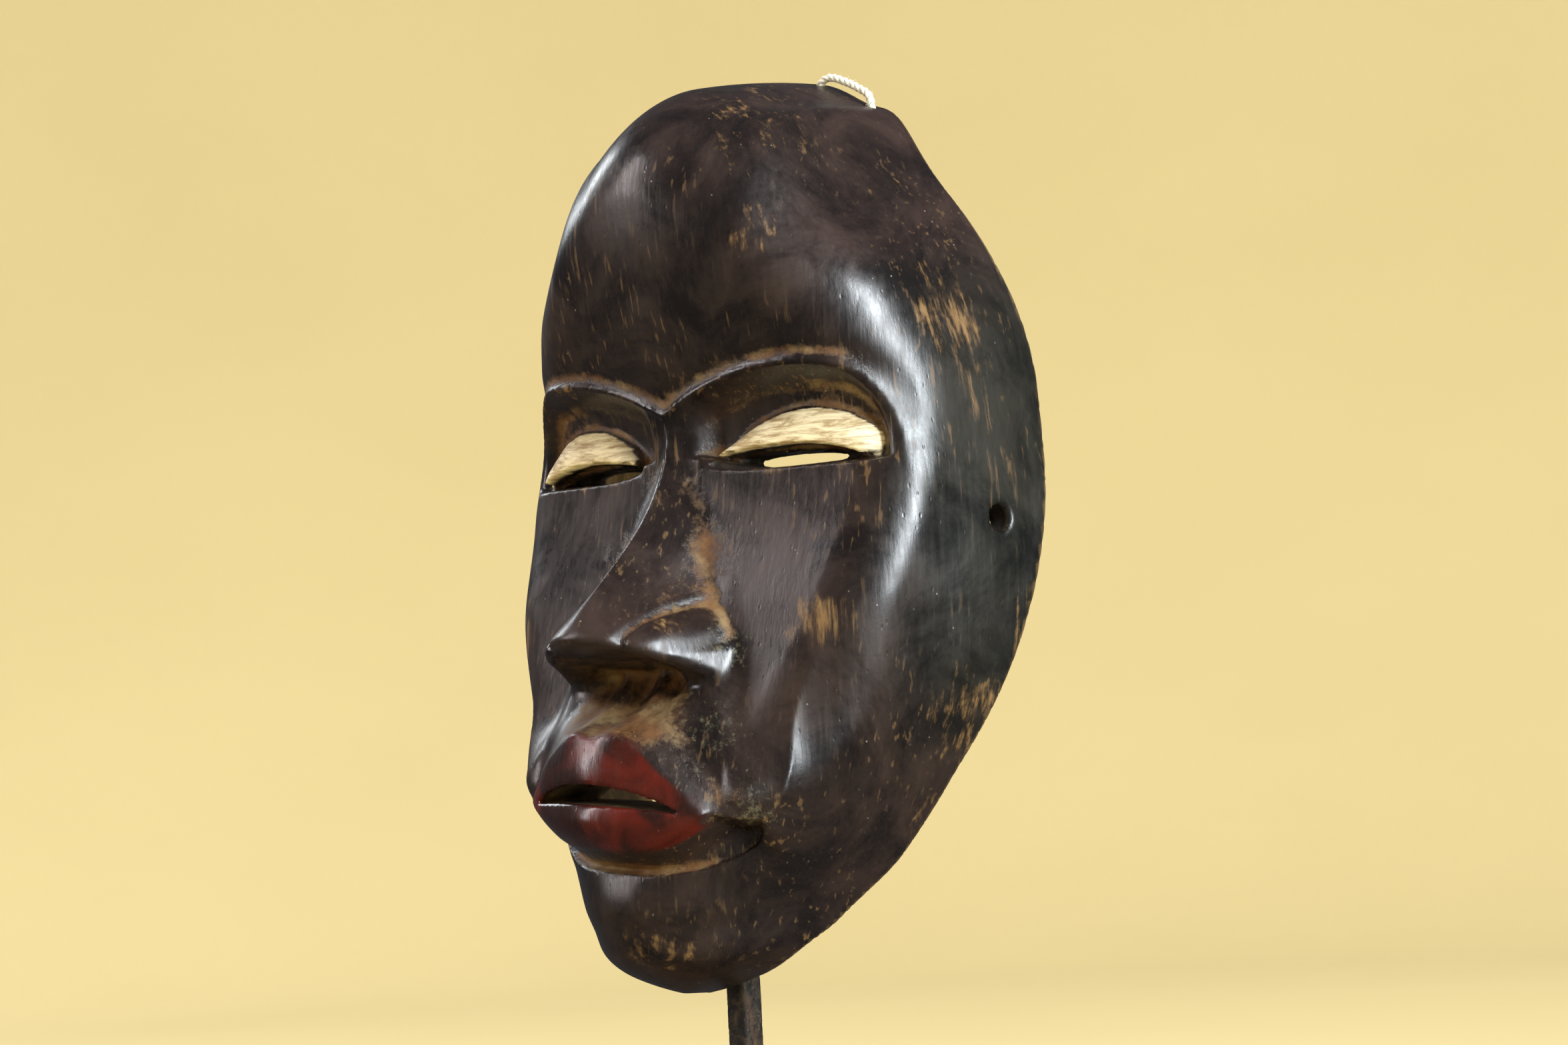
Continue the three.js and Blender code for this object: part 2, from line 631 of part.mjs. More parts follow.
put("mask", maskSolid(), wood, true);
put("hanging_cord", cordSolid(), cotton, true);
put("base", baseSolid(), lacquer);
put("post", postSolid(), iron);
put("arm", armSolid(), iron);
put("stop_rod", stopSolid(), iron);
put("stop_sleeve", stopSleeveSolid(), rubber);
put("sleeve_left", sleeveSolid(ARM.reach), rubber);
put("sleeve_right", sleeveSolid(-ARM.reach), rubber);
const armTop = ARM_AT + ARM.bar / 2;
const recessTop = FOOT.high + BASE_SCREW.deep;
put("arm_screw", screwSolid(ARM_SCREW, POST.top - ARM_SCREW.deep, armTop + GAP, 1), steel);
put("base_screw", screwSolid(BASE_SCREW, FOOT.high + BASE_SCREW.reach, recessTop - GAP, -1), steel);
for (const [end, y] of [["front", -FOOT.y], ["back", FOOT.y]]) {
  for (const [side, x] of [["right", -FOOT.x], ["left", FOOT.x]]) {
    put("foot_" + end + "_" + side, footSolid(x, y), felt);
  }
}

export default group;
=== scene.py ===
"""Looks of the carved wooden mask on its display stand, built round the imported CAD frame.

The mask's form is one solid described by formulas, in millimetres in the mask's own frame: x to its
left, y back, z up from its middle height. It is meshed as the surface where the formula is zero.
"""

import math

import bpy
import numpy as np
from mathutils import Matrix, Vector


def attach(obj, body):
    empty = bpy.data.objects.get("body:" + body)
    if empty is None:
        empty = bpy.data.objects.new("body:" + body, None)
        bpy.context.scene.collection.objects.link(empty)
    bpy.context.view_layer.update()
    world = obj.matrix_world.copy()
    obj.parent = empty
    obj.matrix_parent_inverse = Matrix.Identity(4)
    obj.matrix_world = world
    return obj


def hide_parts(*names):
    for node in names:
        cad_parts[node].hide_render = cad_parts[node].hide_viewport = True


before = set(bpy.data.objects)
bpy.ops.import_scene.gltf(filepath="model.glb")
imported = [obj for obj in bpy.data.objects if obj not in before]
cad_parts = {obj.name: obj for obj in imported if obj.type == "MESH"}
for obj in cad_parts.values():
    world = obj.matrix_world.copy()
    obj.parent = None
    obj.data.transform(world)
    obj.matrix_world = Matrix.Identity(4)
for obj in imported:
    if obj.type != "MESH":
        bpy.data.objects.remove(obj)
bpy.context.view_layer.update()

# ---------- driving dimensions ----------

MM = 0.001
MASK_LIFT = 228.0    # the mask's own z = 0 above the floor, in millimetres
MASK_BACK = 26.3     # the mask's own y = 0 behind the post
CROWN_TOP = 122.2
CHIN_END = -127.6
WALL = 8.5
MOUTH_HALF = 32.0
ARCH = 29.0          # how sharply the crown bends over: less is sharper
EYE = (34.4, 14.4)   # middle of the eye's slit, across and up
EYE_HALF = (13.5, 1.7)
SIDE_HOLE = (1.0, -3.9)  # back and up
SIDE_HOLE_RADIUS = 3.7
MOUTH_ARCH = 5.4     # how far the parted lips stand open
CORD_HOLE_BACK = 17.0
CORD_HOLE_RADIUS = 2.2
CORD_HOLES_AT = (6.5, 25.5)
CORD_WIDE = 2.3
FINE = 1.0     # the mask mesh's cell over the carving, in millimetres
COARSE = 1.6 * FINE                    # and elsewhere

# ---------- small maths ----------


def through(at, stations):
    """A smooth curve through (height, value) stations, by cubic Hermite pieces."""
    heights, values = np.array(stations, float).T
    last = len(heights) - 1
    before = np.maximum(np.arange(last + 1) - 1, 0)
    after = np.minimum(np.arange(last + 1) + 1, last)
    slope = (values[after] - values[before]) / (heights[after] - heights[before])
    t = np.clip(at, heights[0], heights[-1])
    i = np.clip(np.searchsorted(heights, t, side="right") - 1, 0, last - 1)
    d = heights[i + 1] - heights[i]
    u = (t - heights[i]) / d
    v = 1 - u
    start = (1 + 2 * u) * v * v * values[i] + u * v * v * d * slope[i]
    return start + u * u * (3 - 2 * u) * values[i + 1] - u * u * v * d * slope[i + 1]


def ramp(a, b, t):
    u = np.clip((t - a) / (b - a), 0, 1)
    return u * u * (3 - 2 * u)


def bell(t, width):
    return np.exp(-((t / width) ** 2))


def round_both(a, b, r):
    """Two solids in common, with the edge between them rounded."""
    u = np.maximum(a + r, 0)
    v = np.maximum(b + r, 0)
    return np.minimum(np.maximum(a, b), -r) + np.sqrt(u * u + v * v)


def blend_either(a, b, k):
    """Two solids together, with a fillet of reach k."""
    h = np.maximum(k - np.abs(a - b), 0) / k
    return np.minimum(a, b) - h * h * k / 4


def blend_both(a, b, k):
    return -blend_either(-a, -b, k)


# ---------- the mask's lines, each against height ----------

RIM_BACK = [(-128, -38), (-116, -32.6), (-108, -23), (-95, -14), (-75, -4.5), (-50, 4), (-25, 12),
            (0, 19.5), (25, 24), (50, 24.5), (70, 22), (122, 22)]
RIM_HALF = [(-128, 19), (-121, 28), (-112, 34.5), (-95, 45.5), (-75, 60), (-50, 74), (-25, 80.5),
            (0, 80.5), (25, 76.7), (50, 74), (68, 72.5), (83, 69), (122, 62)]
FACE_MIDDLE = [(-128, -60), (-118, -67), (-110, -71), (-103, -73.5), (-94, -72.5), (-75, -66),
               (-50, -59), (-25, -53.5), (0, -47), (20, -44.5), (32, -46.5), (45, -50), (60, -53.5),
               (80, -57), (100, -57), (122, -51)]
FACE_SLOPE = [(-128, 0.3), (-103, 0.34), (-75, 0.16), (-50, 0.14), (-25, 0.14), (0, 0.19),
              (20, 0.22), (45, 0.19), (60, 0.16), (80, 0.18), (122, 0.25)]
FACE_ROUND = [(-128, 25), (-103, 20), (-75, 12), (20, 10), (45, 10), (80, 15), (122, 24)]
SIDE_STEEP = [(-128, 2.6), (-95, 3.2), (-75, 3.8), (-50, 3.3), (-25, 3.5), (0, 4.8), (15, 7),
              (45, 8), (80, 5), (122, 4)]
CREST_ROUND = [(-128, 10), (-95, 17), (-75, 12), (-50, 16), (-25, 13), (0, 13), (15, 15), (45, 26),
               (67, 30), (89, 36), (122, 40)]
INNER_MIDDLE = [(-128, -45), (-112, -58), (-100, -63), (-88, -63), (-70, -57), (-50, -49),
                (-25, -43), (0, -36), (20, -34), (45, -40), (60, -43), (80, -46), (122, -42)]
NOSE_RIDGE = [(-36, -91), (-30, -87.5), (-25, -83.5), (-17, -75), (-9, -66), (0, -57), (10, -50),
              (20, -46), (27, -45)]
NOSE_HALF = [(-36, 29), (-30, 27), (-24, 22.5), (-16, 18), (-5, 15), (3, 13), (12, 9), (20, 5),
             (27, 4)]
NOSE_POWER = [(-36, 2.3), (-30, 2.1), (-24, 1.6), (-15, 1.2), (0, 1.08), (27, 1.1)]

# ---------- the mask's features, each by distance x from the middle ----------


def brow_line(x):
    """Height of the brow's crease."""
    inner = 11.1 * (np.clip(40 - x, 0, 40) / 40) ** 1.9
    outer = 21 * (np.clip(x - 40, 0, 32) / 27) ** 4
    return 39.5 - inner - outer


def mouth_share(x):
    return np.minimum(x, MOUTH_HALF) / MOUTH_HALF


def lip_border(x):
    """Height of the upper lip's top edge."""
    peak = -55.4 - 1.3 * bell(x, 4)
    slope = -55.4 - 20.8 * (np.clip(x - 6.5, 0, 27) / 25.5) ** 1.4
    return np.where(x < 6.5, peak, slope)


def lip_line(x):
    """Height where the lips part."""
    return -74.3 - 1.9 * mouth_share(x) ** 2


def lip_bottom(x):
    return lip_line(x) - 11.4 * (1 - mouth_share(x) ** 3) - 0.2


def lip_edge(x):
    """Depth of the lips where they part."""
    return -83 + 10.5 * mouth_share(x) ** 1.7


def border_edge(x):
    """Depth of the upper lip's top edge."""
    return -81 + 9 * mouth_share(x) ** 1.6


def chin_groove(x):
    return -92.3 + 11.5 * (np.minimum(x, 48) / 38) ** 3.6


def brow_distance(x, z):
    """How far a point lies above the brow's crease, square to it."""
    lean = brow_line(x + 0.5) - brow_line(np.maximum(x - 0.5, 0))
    return (z - brow_line(x)) / np.sqrt(1 + lean * lean)


def brow(x, z):
    """The brow's crisp edge with a shallow trough above it, and the socket scooped out below."""
    t = brow_distance(x, z)
    edge = ramp(71, 66, x) * (1.1 * bell(t - 0.4, 1.2) - 0.9 * bell(t - 3.6, 2.2))
    sill = 13 + 2.8 * (np.clip(34 - x, 0, 24) / 20) ** 2
    socket = ramp(0.3, -7, t) * ramp(sill - 0.8, sill + 0.8, z) * ramp(68, 60, x) * ramp(5, 13, x)
    return 6.5 * socket - edge


def lid_bounds(x):
    low = 18.3 - 2 * (np.clip(38 - x, 0, 30) / 24) ** 2 - 4.8 * (np.clip(x - 38, 0, 30) / 23) ** 2
    across = np.clip((x - 37.5) / 24, -1, 1)
    high = 15.5 + 13 * (1 - across * across) ** 0.6 + 2.2 * across
    return low, high, across


def lid(x, z):
    """The bulging upper lid with its crisp lower edge."""
    low, high, across = lid_bounds(x)
    v = np.clip((z - low) / np.maximum(high - low, 0.5), 0, 1)
    body = np.maximum(np.cos(v * np.pi / 2), 0) ** 0.8
    return -7 * body * ramp(low - 0.5, low + 0.5, z) * ramp(0, 0.22, 1 - across * across)


def folds(x, z):
    """The fold from nose to mouth corner, and the channel from nose to lip."""
    line = 24 + 19 * ramp(-38, -84, z)
    fade = ramp(-34, -44, z) * ramp(-92, -82, z)
    fold = fade * (3 * bell(x - line + 9.5, 5.5) - 3 * bell(x - line, 5))
    channel = ramp(-34, -40, z) * ramp(-60, -56, z)
    return fold + channel * (3.2 * bell(x, 3.4) - 1.6 * bell(x - 7.5, 2.4))


def broad_face(x, z):
    """Depth of the face's broad form, before the carving on it."""
    round_ = through(z, FACE_ROUND)
    y = through(z, FACE_MIDDLE) + through(z, FACE_SLOPE) * (np.sqrt(x * x + round_ * round_) - round_)
    return y - 9 * np.exp(-(((x / 27) ** 2 + ((z + 62) / 16) ** 2) ** 1.5))


def face(x, z):
    """Depth of the carved face without nose and lips."""
    y = broad_face(x, z) + folds(x, z) + brow(x, z) + lid(x, z)
    up = z - chin_groove(x)
    return y + 3.2 * np.exp(-np.maximum(up, 0) / 11) * ramp(-0.6, 0.6, up) * ramp(50, 36, x)


def nose(x, y, z):
    half = through(z, NOSE_HALF)
    ridge = through(z, NOSE_RIDGE)
    foot = np.maximum(through(z, FACE_MIDDLE) + 3, ridge + 4)
    wing = np.sqrt(((x - 19.8) / 0.85) ** 2 + (z + 31) ** 2)
    side = ridge + (foot - ridge) * (x / half) ** through(z, NOSE_POWER)
    side = side + 2.6 * bell(wing - 8.2, 1.5) * ramp(-36, -32, z) - 2.6 * bell(wing, 5.0)
    flank = (side - y) / np.sqrt(2 + ((foot - ridge) / half) ** 2)
    under = -(z + 31.5 + (y + 90) * 0.24 + 2.4 * ramp(10, 24, x)) / 1.03
    beyond = np.maximum((z - 30) * 0.9, x - half - 6)
    return blend_both(np.maximum(flank, beyond), under, 3)


def mouth_sides(x, y, z):
    """How far a point lies ahead of the lips' front, and outside the edge that bounds it."""
    line = lip_line(x)
    full = 1 - mouth_share(x) ** 2
    s = np.clip((z - line) / np.maximum(lip_border(x) - line, 0.6), 0, 1)
    r = np.clip((line - z) / np.maximum(line - lip_bottom(x), 0.6), 0, 1)
    upper = lip_edge(x) + (border_edge(x) - lip_edge(x)) * s - 1.2 * np.sin(np.pi * s) * full
    lower = lip_edge(x) + 3.5 * r ** 2.4 - 1.6 * np.sin(np.pi * r) * full
    front = (np.where(z > line, upper, lower) - y) / 1.25
    lean = 0.32 + 0.85 * ramp(6, 26, x)
    top = (z - lip_border(x) - (y - border_edge(x)) * lean) / np.sqrt(1.1 + lean * lean + 0.7 * ramp(4, 9, x))
    drop = lip_bottom(x) - 0.3 * np.maximum(x - MOUTH_HALF, 0)
    low = (drop - (y - lip_edge(x) - 3.5) * (0.55 - 0.2 * ramp(20, 40, x)) - z) / 1.25
    end = (x - MOUTH_HALF - np.maximum(y + 72.3, 0) * 1.45 + 0.65 * np.maximum(z + 74, 0)) / 1.9
    return front, np.maximum(top, np.maximum(low, end))


def mouth(x, y, z):
    """Both lips as one body standing out of the face."""
    front, around = mouth_sides(x, y, z)
    return np.maximum(np.maximum(front, around), y + 56)


def arch_root(x):
    return np.sqrt(1.25 * x * x + ARCH * ARCH)


def outer_form(x, y, z):
    """Less than zero inside the mask's outer form, before its back is cut and it is hollowed."""
    x = np.abs(x)
    gx = (broad_face(x + 1, z) - broad_face(np.maximum(x - 1, 0), z)) / 2
    gz = (broad_face(x, z + 1) - broad_face(x, z - 1)) / 2
    front = (face(x, z) - y) / np.sqrt(1 + gx * gx + gz * gz)
    steep = through(z, SIDE_STEEP)
    behind = through(z, RIM_BACK) - y
    taper = (through(z + 1, RIM_HALF) - through(z - 1, RIM_HALF)) / 2
    flank = x - through(z, RIM_HALF) + behind / steep + 2.1 * bell(behind, 14)
    flank = flank / np.sqrt(1 + 1 / steep ** 2 + taper ** 2)
    lips = round_both(mouth(x, y, z), flank, through(z, CREST_ROUND))
    d = round_both(front, flank, through(z, CREST_ROUND))
    root = arch_root(x)
    dip = 2.5 * bell(x - 46, 9) - 4 * bell(x - 31, 7) + (y - 25) ** 2 / 590 - 1.4
    crown = z - CROWN_TOP + root - ARCH + dip
    d = round_both(d, crown / np.sqrt(1 + (1.25 * x / root) ** 2), 24)
    d = round_both(d, -(z - CHIN_END) + x * x / 300, 15)
    d = blend_either(d, nose(x, y, z), 2)
    level = ramp(-80, -70, z)
    return blend_either(d, lips, 1.5 + 4 * level + 8 * level * ramp(8, 20, x))


def hollow_form(x, y, z):
    """Less than zero inside the hollow behind the face."""
    x = np.abs(x)
    steep = through(z, SIDE_STEEP)
    front = (through(z, INNER_MIDDLE) + 0.35 * (np.sqrt(x * x + 256) - 16) - y) / 1.15
    lean = np.maximum(through(z, RIM_BACK) - y, 0) / steep
    flank = (x - (through(z, RIM_HALF) - WALL) + lean) / np.sqrt(1 + 1 / steep ** 2)
    d = round_both(front, flank, 22)
    root = arch_root(x)
    crown = z - CROWN_TOP + 9.7 + root - ARCH
    d = round_both(d, crown / np.sqrt(1 + (1.25 * x / root) ** 2), 22)
    return round_both(d, -(z - CHIN_END - 10), 18)


def eye_slit(x, y, z):
    """The slit right through, in the middle of a longer groove under the lid."""
    half, high = EYE_HALF
    slit = (np.sqrt(((x - EYE[0]) / half) ** 2 + ((z - EYE[1]) / high) ** 2) - 1) * high
    groove = (np.sqrt(((x - 33) / 21) ** 2 + ((z - 14.6) / 2.0) ** 2) - 1) * 2.0
    return np.minimum(np.maximum(slit, y + 15), np.maximum(groove, y - face(x, z) - 3.2))


def mouth_gap(x, y, z):
    half = 26.5 - 3 * ramp(-84, -62, y)
    sill = lip_line(x) + 0.1
    arch = sill + MOUTH_ARCH * np.clip(1 - (x / half) ** 2, 0, 1) ** 0.8
    gap = np.maximum(z - arch, sill - z)
    return np.maximum(gap, np.maximum(x - half, y + 40))


def side_hole(x, y, z):
    back, up = SIDE_HOLE
    return np.maximum(np.sqrt((y - back) ** 2 + (z - up) ** 2) - SIDE_HOLE_RADIUS, 50 - x)


def cord_hole(x, y, z, at):
    bore = np.sqrt((x - at) ** 2 + (y - CORD_HOLE_BACK) ** 2) - CORD_HOLE_RADIUS
    return np.maximum(bore, 93 - z)


def leaned(x, z):
    """The height that counts at a point: the carver cut the mouth leaning down to the mask's left."""
    return z + 0.08 * x * ramp(-48, -66, z) * ramp(-108, -92, z) * ramp(62, 40, np.abs(x))


def mask_form(x, y, z):
    """Less than zero inside the wood."""
    ax = np.abs(x)
    z = leaned(x, z)
    d = blend_both(outer_form(ax, y, z), y - through(z, RIM_BACK), 2.2)
    d = blend_both(d, -hollow_form(ax, y, z), 2.0)
    for cut in (eye_slit(ax, y, z), mouth_gap(ax, y, z), side_hole(ax, y, z)):
        d = np.maximum(d, -cut)
    for at in CORD_HOLES_AT:
        d = np.maximum(d, -cord_hole(x, y, z, at))
    return d


# ---------- from formula to mesh ----------


def surface_nets(field, axes):
    """Points, one in each cell that the surface crosses, and the quads that join them."""
    inside = field < 0
    shape = field.shape
    count = np.zeros(tuple(n - 1 for n in shape), np.uint8)
    corners = [(a, b, c) for a in (0, 1) for b in (0, 1) for c in (0, 1)]
    for a, b, c in corners:
        count += inside[a:shape[0] - 1 + a, b:shape[1] - 1 + b, c:shape[2] - 1 + c]
    cells = np.argwhere((count > 0) & (count < 8))
    number = np.full(count.shape, -1, np.int32)
    number[tuple(cells.T)] = np.arange(len(cells))
    total = np.zeros((len(cells), 3))
    hits = np.zeros((len(cells), 1))
    for corner in corners:
        for axis in range(3):
            if corner[axis]:
                continue
            here = cells + corner
            there = here.copy()
            there[:, axis] += 1
            near = field[tuple(here.T)]
            far = field[tuple(there.T)]
            crossed = (near < 0) != (far < 0)
            share = np.where(crossed, near / np.where(near == far, 1, near - far), 0)
            point = np.stack([axes[k][here[:, k]] for k in range(3)], 1)
            point[:, axis] += share * (axes[axis][there[:, axis]] - axes[axis][here[:, axis]])
            total += point * crossed[:, None]
            hits += crossed[:, None]
    quads = [quads_across(inside, number, axis) for axis in range(3)]
    return total / hits, np.concatenate(quads)


def quads_across(inside, number, axis):
    """One quad for each grid edge along an axis that goes through the surface."""
    first, second = [(1, 2), (2, 0), (0, 1)][axis]
    low = [slice(1, -1)] * 3
    high = [slice(1, -1)] * 3
    low[axis] = slice(0, -1)
    high[axis] = slice(1, None)
    start = inside[tuple(low)]
    edges = np.argwhere(start != inside[tuple(high)])
    leaving = start[tuple(edges.T)]
    edges[:, first] += 1
    edges[:, second] += 1

    def cell(du, dv):
        at = edges.copy()
        at[:, first] -= du
        at[:, second] -= dv
        return number[tuple(at.T)]

    quads = np.stack([cell(1, 1), cell(0, 1), cell(0, 0), cell(1, 0)], 1)
    quads[~leaving] = quads[~leaving][:, ::-1]
    return quads


def slope_at(points, e=0.06):
    """Value and gradient of the mask's form at points."""
    x, y, z = points.T
    parts = [
        mask_form(x + e, y, z) - mask_form(x - e, y, z),
        mask_form(x, y + e, z) - mask_form(x, y - e, z),
        mask_form(x, y, z + e) - mask_form(x, y, z - e),
    ]
    return mask_form(x, y, z), np.stack(parts, 1) / (2 * e)


def settle(points, rounds=2):
    """Moves points onto the surface, a little at a time."""
    for _ in range(rounds):
        value, slope = slope_at(points)
        move = value[:, None] * slope / np.maximum((slope * slope).sum(1), 0.05)[:, None]
        length = np.linalg.norm(move, axis=1)
        points = points - move * np.minimum(1, 0.4 / np.maximum(length, 1e-9))[:, None]
    return points


def grid_lines(*stretches):
    """Positions of grid planes, from stretches of (start, end, spacing)."""
    return np.concatenate([np.arange(start, end, spacing) for start, end, spacing in stretches])


def mask_surface():
    xs = grid_lines((-84, -58, COARSE), (-58, 58, FINE), (58, 86, COARSE))
    ys = grid_lines((-95, -32, FINE), (-32, -6, COARSE), (-6, 8, FINE), (8, 30, COARSE))
    zs = grid_lines((-130, -99, COARSE), (-99, 46, FINE), (46, 128, COARSE))
    field = np.empty((len(xs), len(ys), len(zs)), np.float32)
    for i in range(0, len(ys), 16):
        part = ys[i:i + 16]
        field[:, i:i + 16, :] = mask_form(xs[:, None, None], part[None, :, None], zs[None, None, :])
    points, quads = surface_nets(field, (xs, ys, zs))
    return settle(points), quads


def curl_at(points, reach):
    """How hollow (above zero) or raised (below zero) the surface is about points."""
    x, y, z = points.T
    total = -6 * mask_form(x, y, z)
    for dx, dy, dz in ((reach, 0, 0), (0, reach, 0), (0, 0, reach)):
        total = total + mask_form(x + dx, y + dy, z + dz) + mask_form(x - dx, y - dy, z - dz)
    return -total / reach


# ---------- mesh helpers ----------


def mesh_object(name, points, faces, smooth=True):
    """A mesh piece from points in metres and faces that all have the same number of corners."""
    faces = np.asarray(faces, np.int32)
    sides = faces.shape[1]
    mesh = bpy.data.meshes.new(name)
    mesh.vertices.add(len(points))
    mesh.vertices.foreach_set("co", np.asarray(points, np.float32).ravel())
    mesh.loops.add(faces.size)
    mesh.loops.foreach_set("vertex_index", faces.ravel())
    mesh.polygons.add(len(faces))
    mesh.polygons.foreach_set("loop_start", np.arange(0, faces.size, sides, dtype=np.int32))
    mesh.polygons.foreach_set("loop_total", np.full(len(faces), sides, np.int32))
    mesh.update()
    mesh.polygons.foreach_set("use_smooth", np.full(len(faces), smooth, bool))
    piece = bpy.data.objects.new(name, mesh)
    bpy.context.scene.collection.objects.link(piece)
    return piece


def paint(piece, name, values):
    """A number at each point, which the materials read by name."""
    data = piece.data.attributes.new(name, "FLOAT", "POINT").data
    data.foreach_set("value", np.clip(values, 0, 1).astype(np.float32))


def to_row(points):
    """From the mask's own frame in millimetres to the row's frame in metres."""
    return (np.asarray(points, float) + (0, MASK_BACK, MASK_LIFT)) * MM


# ---------- node helpers ----------


class Nodes:
    """Short ways to add shader nodes."""

    def __init__(self, name):
        self.material = bpy.data.materials.new(name)
        self.material.use_nodes = True
        self.tree = self.material.node_tree
        self.shader = self.tree.nodes["Principled BSDF"]

    def add(self, kind, **inputs):
        node = self.tree.nodes.new(kind)
        for key, value in inputs.items():
            self.give(node.inputs[key.replace("_", " ")], value)
        return node

    def give(self, socket, value):
        if isinstance(value, bpy.types.NodeSocket):
            self.tree.links.new(value, socket)
        elif isinstance(value, tuple) and len(value) == 3 and len(socket.default_value) == 4:
            socket.default_value = (*value, 1)
        else:
            socket.default_value = value

    def place(self, scale=(1, 1, 1), turn=(0, 0, 0)):
        """Object coordinates in metres, stretched by scale."""
        where = self.tree.nodes.new("ShaderNodeTexCoord").outputs["Object"]
        mapping = self.tree.nodes.new("ShaderNodeMapping")
        self.tree.links.new(where, mapping.inputs["Vector"])
        mapping.inputs["Scale"].default_value = scale
        mapping.inputs["Rotation"].default_value = turn
        return mapping.outputs["Vector"]

    def noise(self, where, scale, detail=3.0, rough=0.55, twist=0.0):
        node = self.add("ShaderNodeTexNoise", Vector=where, Scale=scale, Detail=detail,
                        Roughness=rough, Distortion=twist)
        return node.outputs["Fac"]

    def cells(self, where, scale, feature="F1"):
        node = self.tree.nodes.new("ShaderNodeTexVoronoi")
        node.feature = feature
        self.give(node.inputs["Vector"], where)
        self.give(node.inputs["Scale"], scale)
        return node.outputs["Distance"]

    def named(self, name):
        node = self.tree.nodes.new("ShaderNodeAttribute")
        node.attribute_name = name
        return node.outputs["Fac"]

    def sharpen(self, value, low, high, out_low=0.0, out_high=1.0):
        node = self.tree.nodes.new("ShaderNodeMapRange")
        node.interpolation_type = "SMOOTHSTEP"
        for key, number in (("Value", value), ("From Min", low), ("From Max", high),
                            ("To Min", out_low), ("To Max", out_high)):
            self.give(node.inputs[key], number)
        return node.outputs["Result"]

    def math(self, what, a, b=0.0):
        node = self.tree.nodes.new("ShaderNodeMath")
        node.operation = what
        self.give(node.inputs[0], a)
        self.give(node.inputs[1], b)
        return node.outputs["Value"]

    def times(self, *values):
        product = values[0]
        for value in values[1:]:
            product = self.math("MULTIPLY", product, value)
        return product

    def mix(self, share, under, over):
        node = self.tree.nodes.new("ShaderNodeMix")
        node.data_type = "RGBA"
        self.give(node.inputs["Factor"], share)
        colour_in = [s for s in node.inputs if s.type == "RGBA"]
        self.give(colour_in[0], under)
        self.give(colour_in[1], over)
        return [s for s in node.outputs if s.type == "RGBA"][0]

    def bump(self, height, strength, distance, under=None):
        node = self.add("ShaderNodeBump", Height=height, Strength=strength, Distance=distance)
        if under is not None:
            self.give(node.inputs["Normal"], under)
        return node.outputs["Normal"]

    def set(self, **values):
        for key, value in values.items():
            self.give(self.shader.inputs[key.replace("_", " ")], value)
        return self.material


# ---------- materials ----------


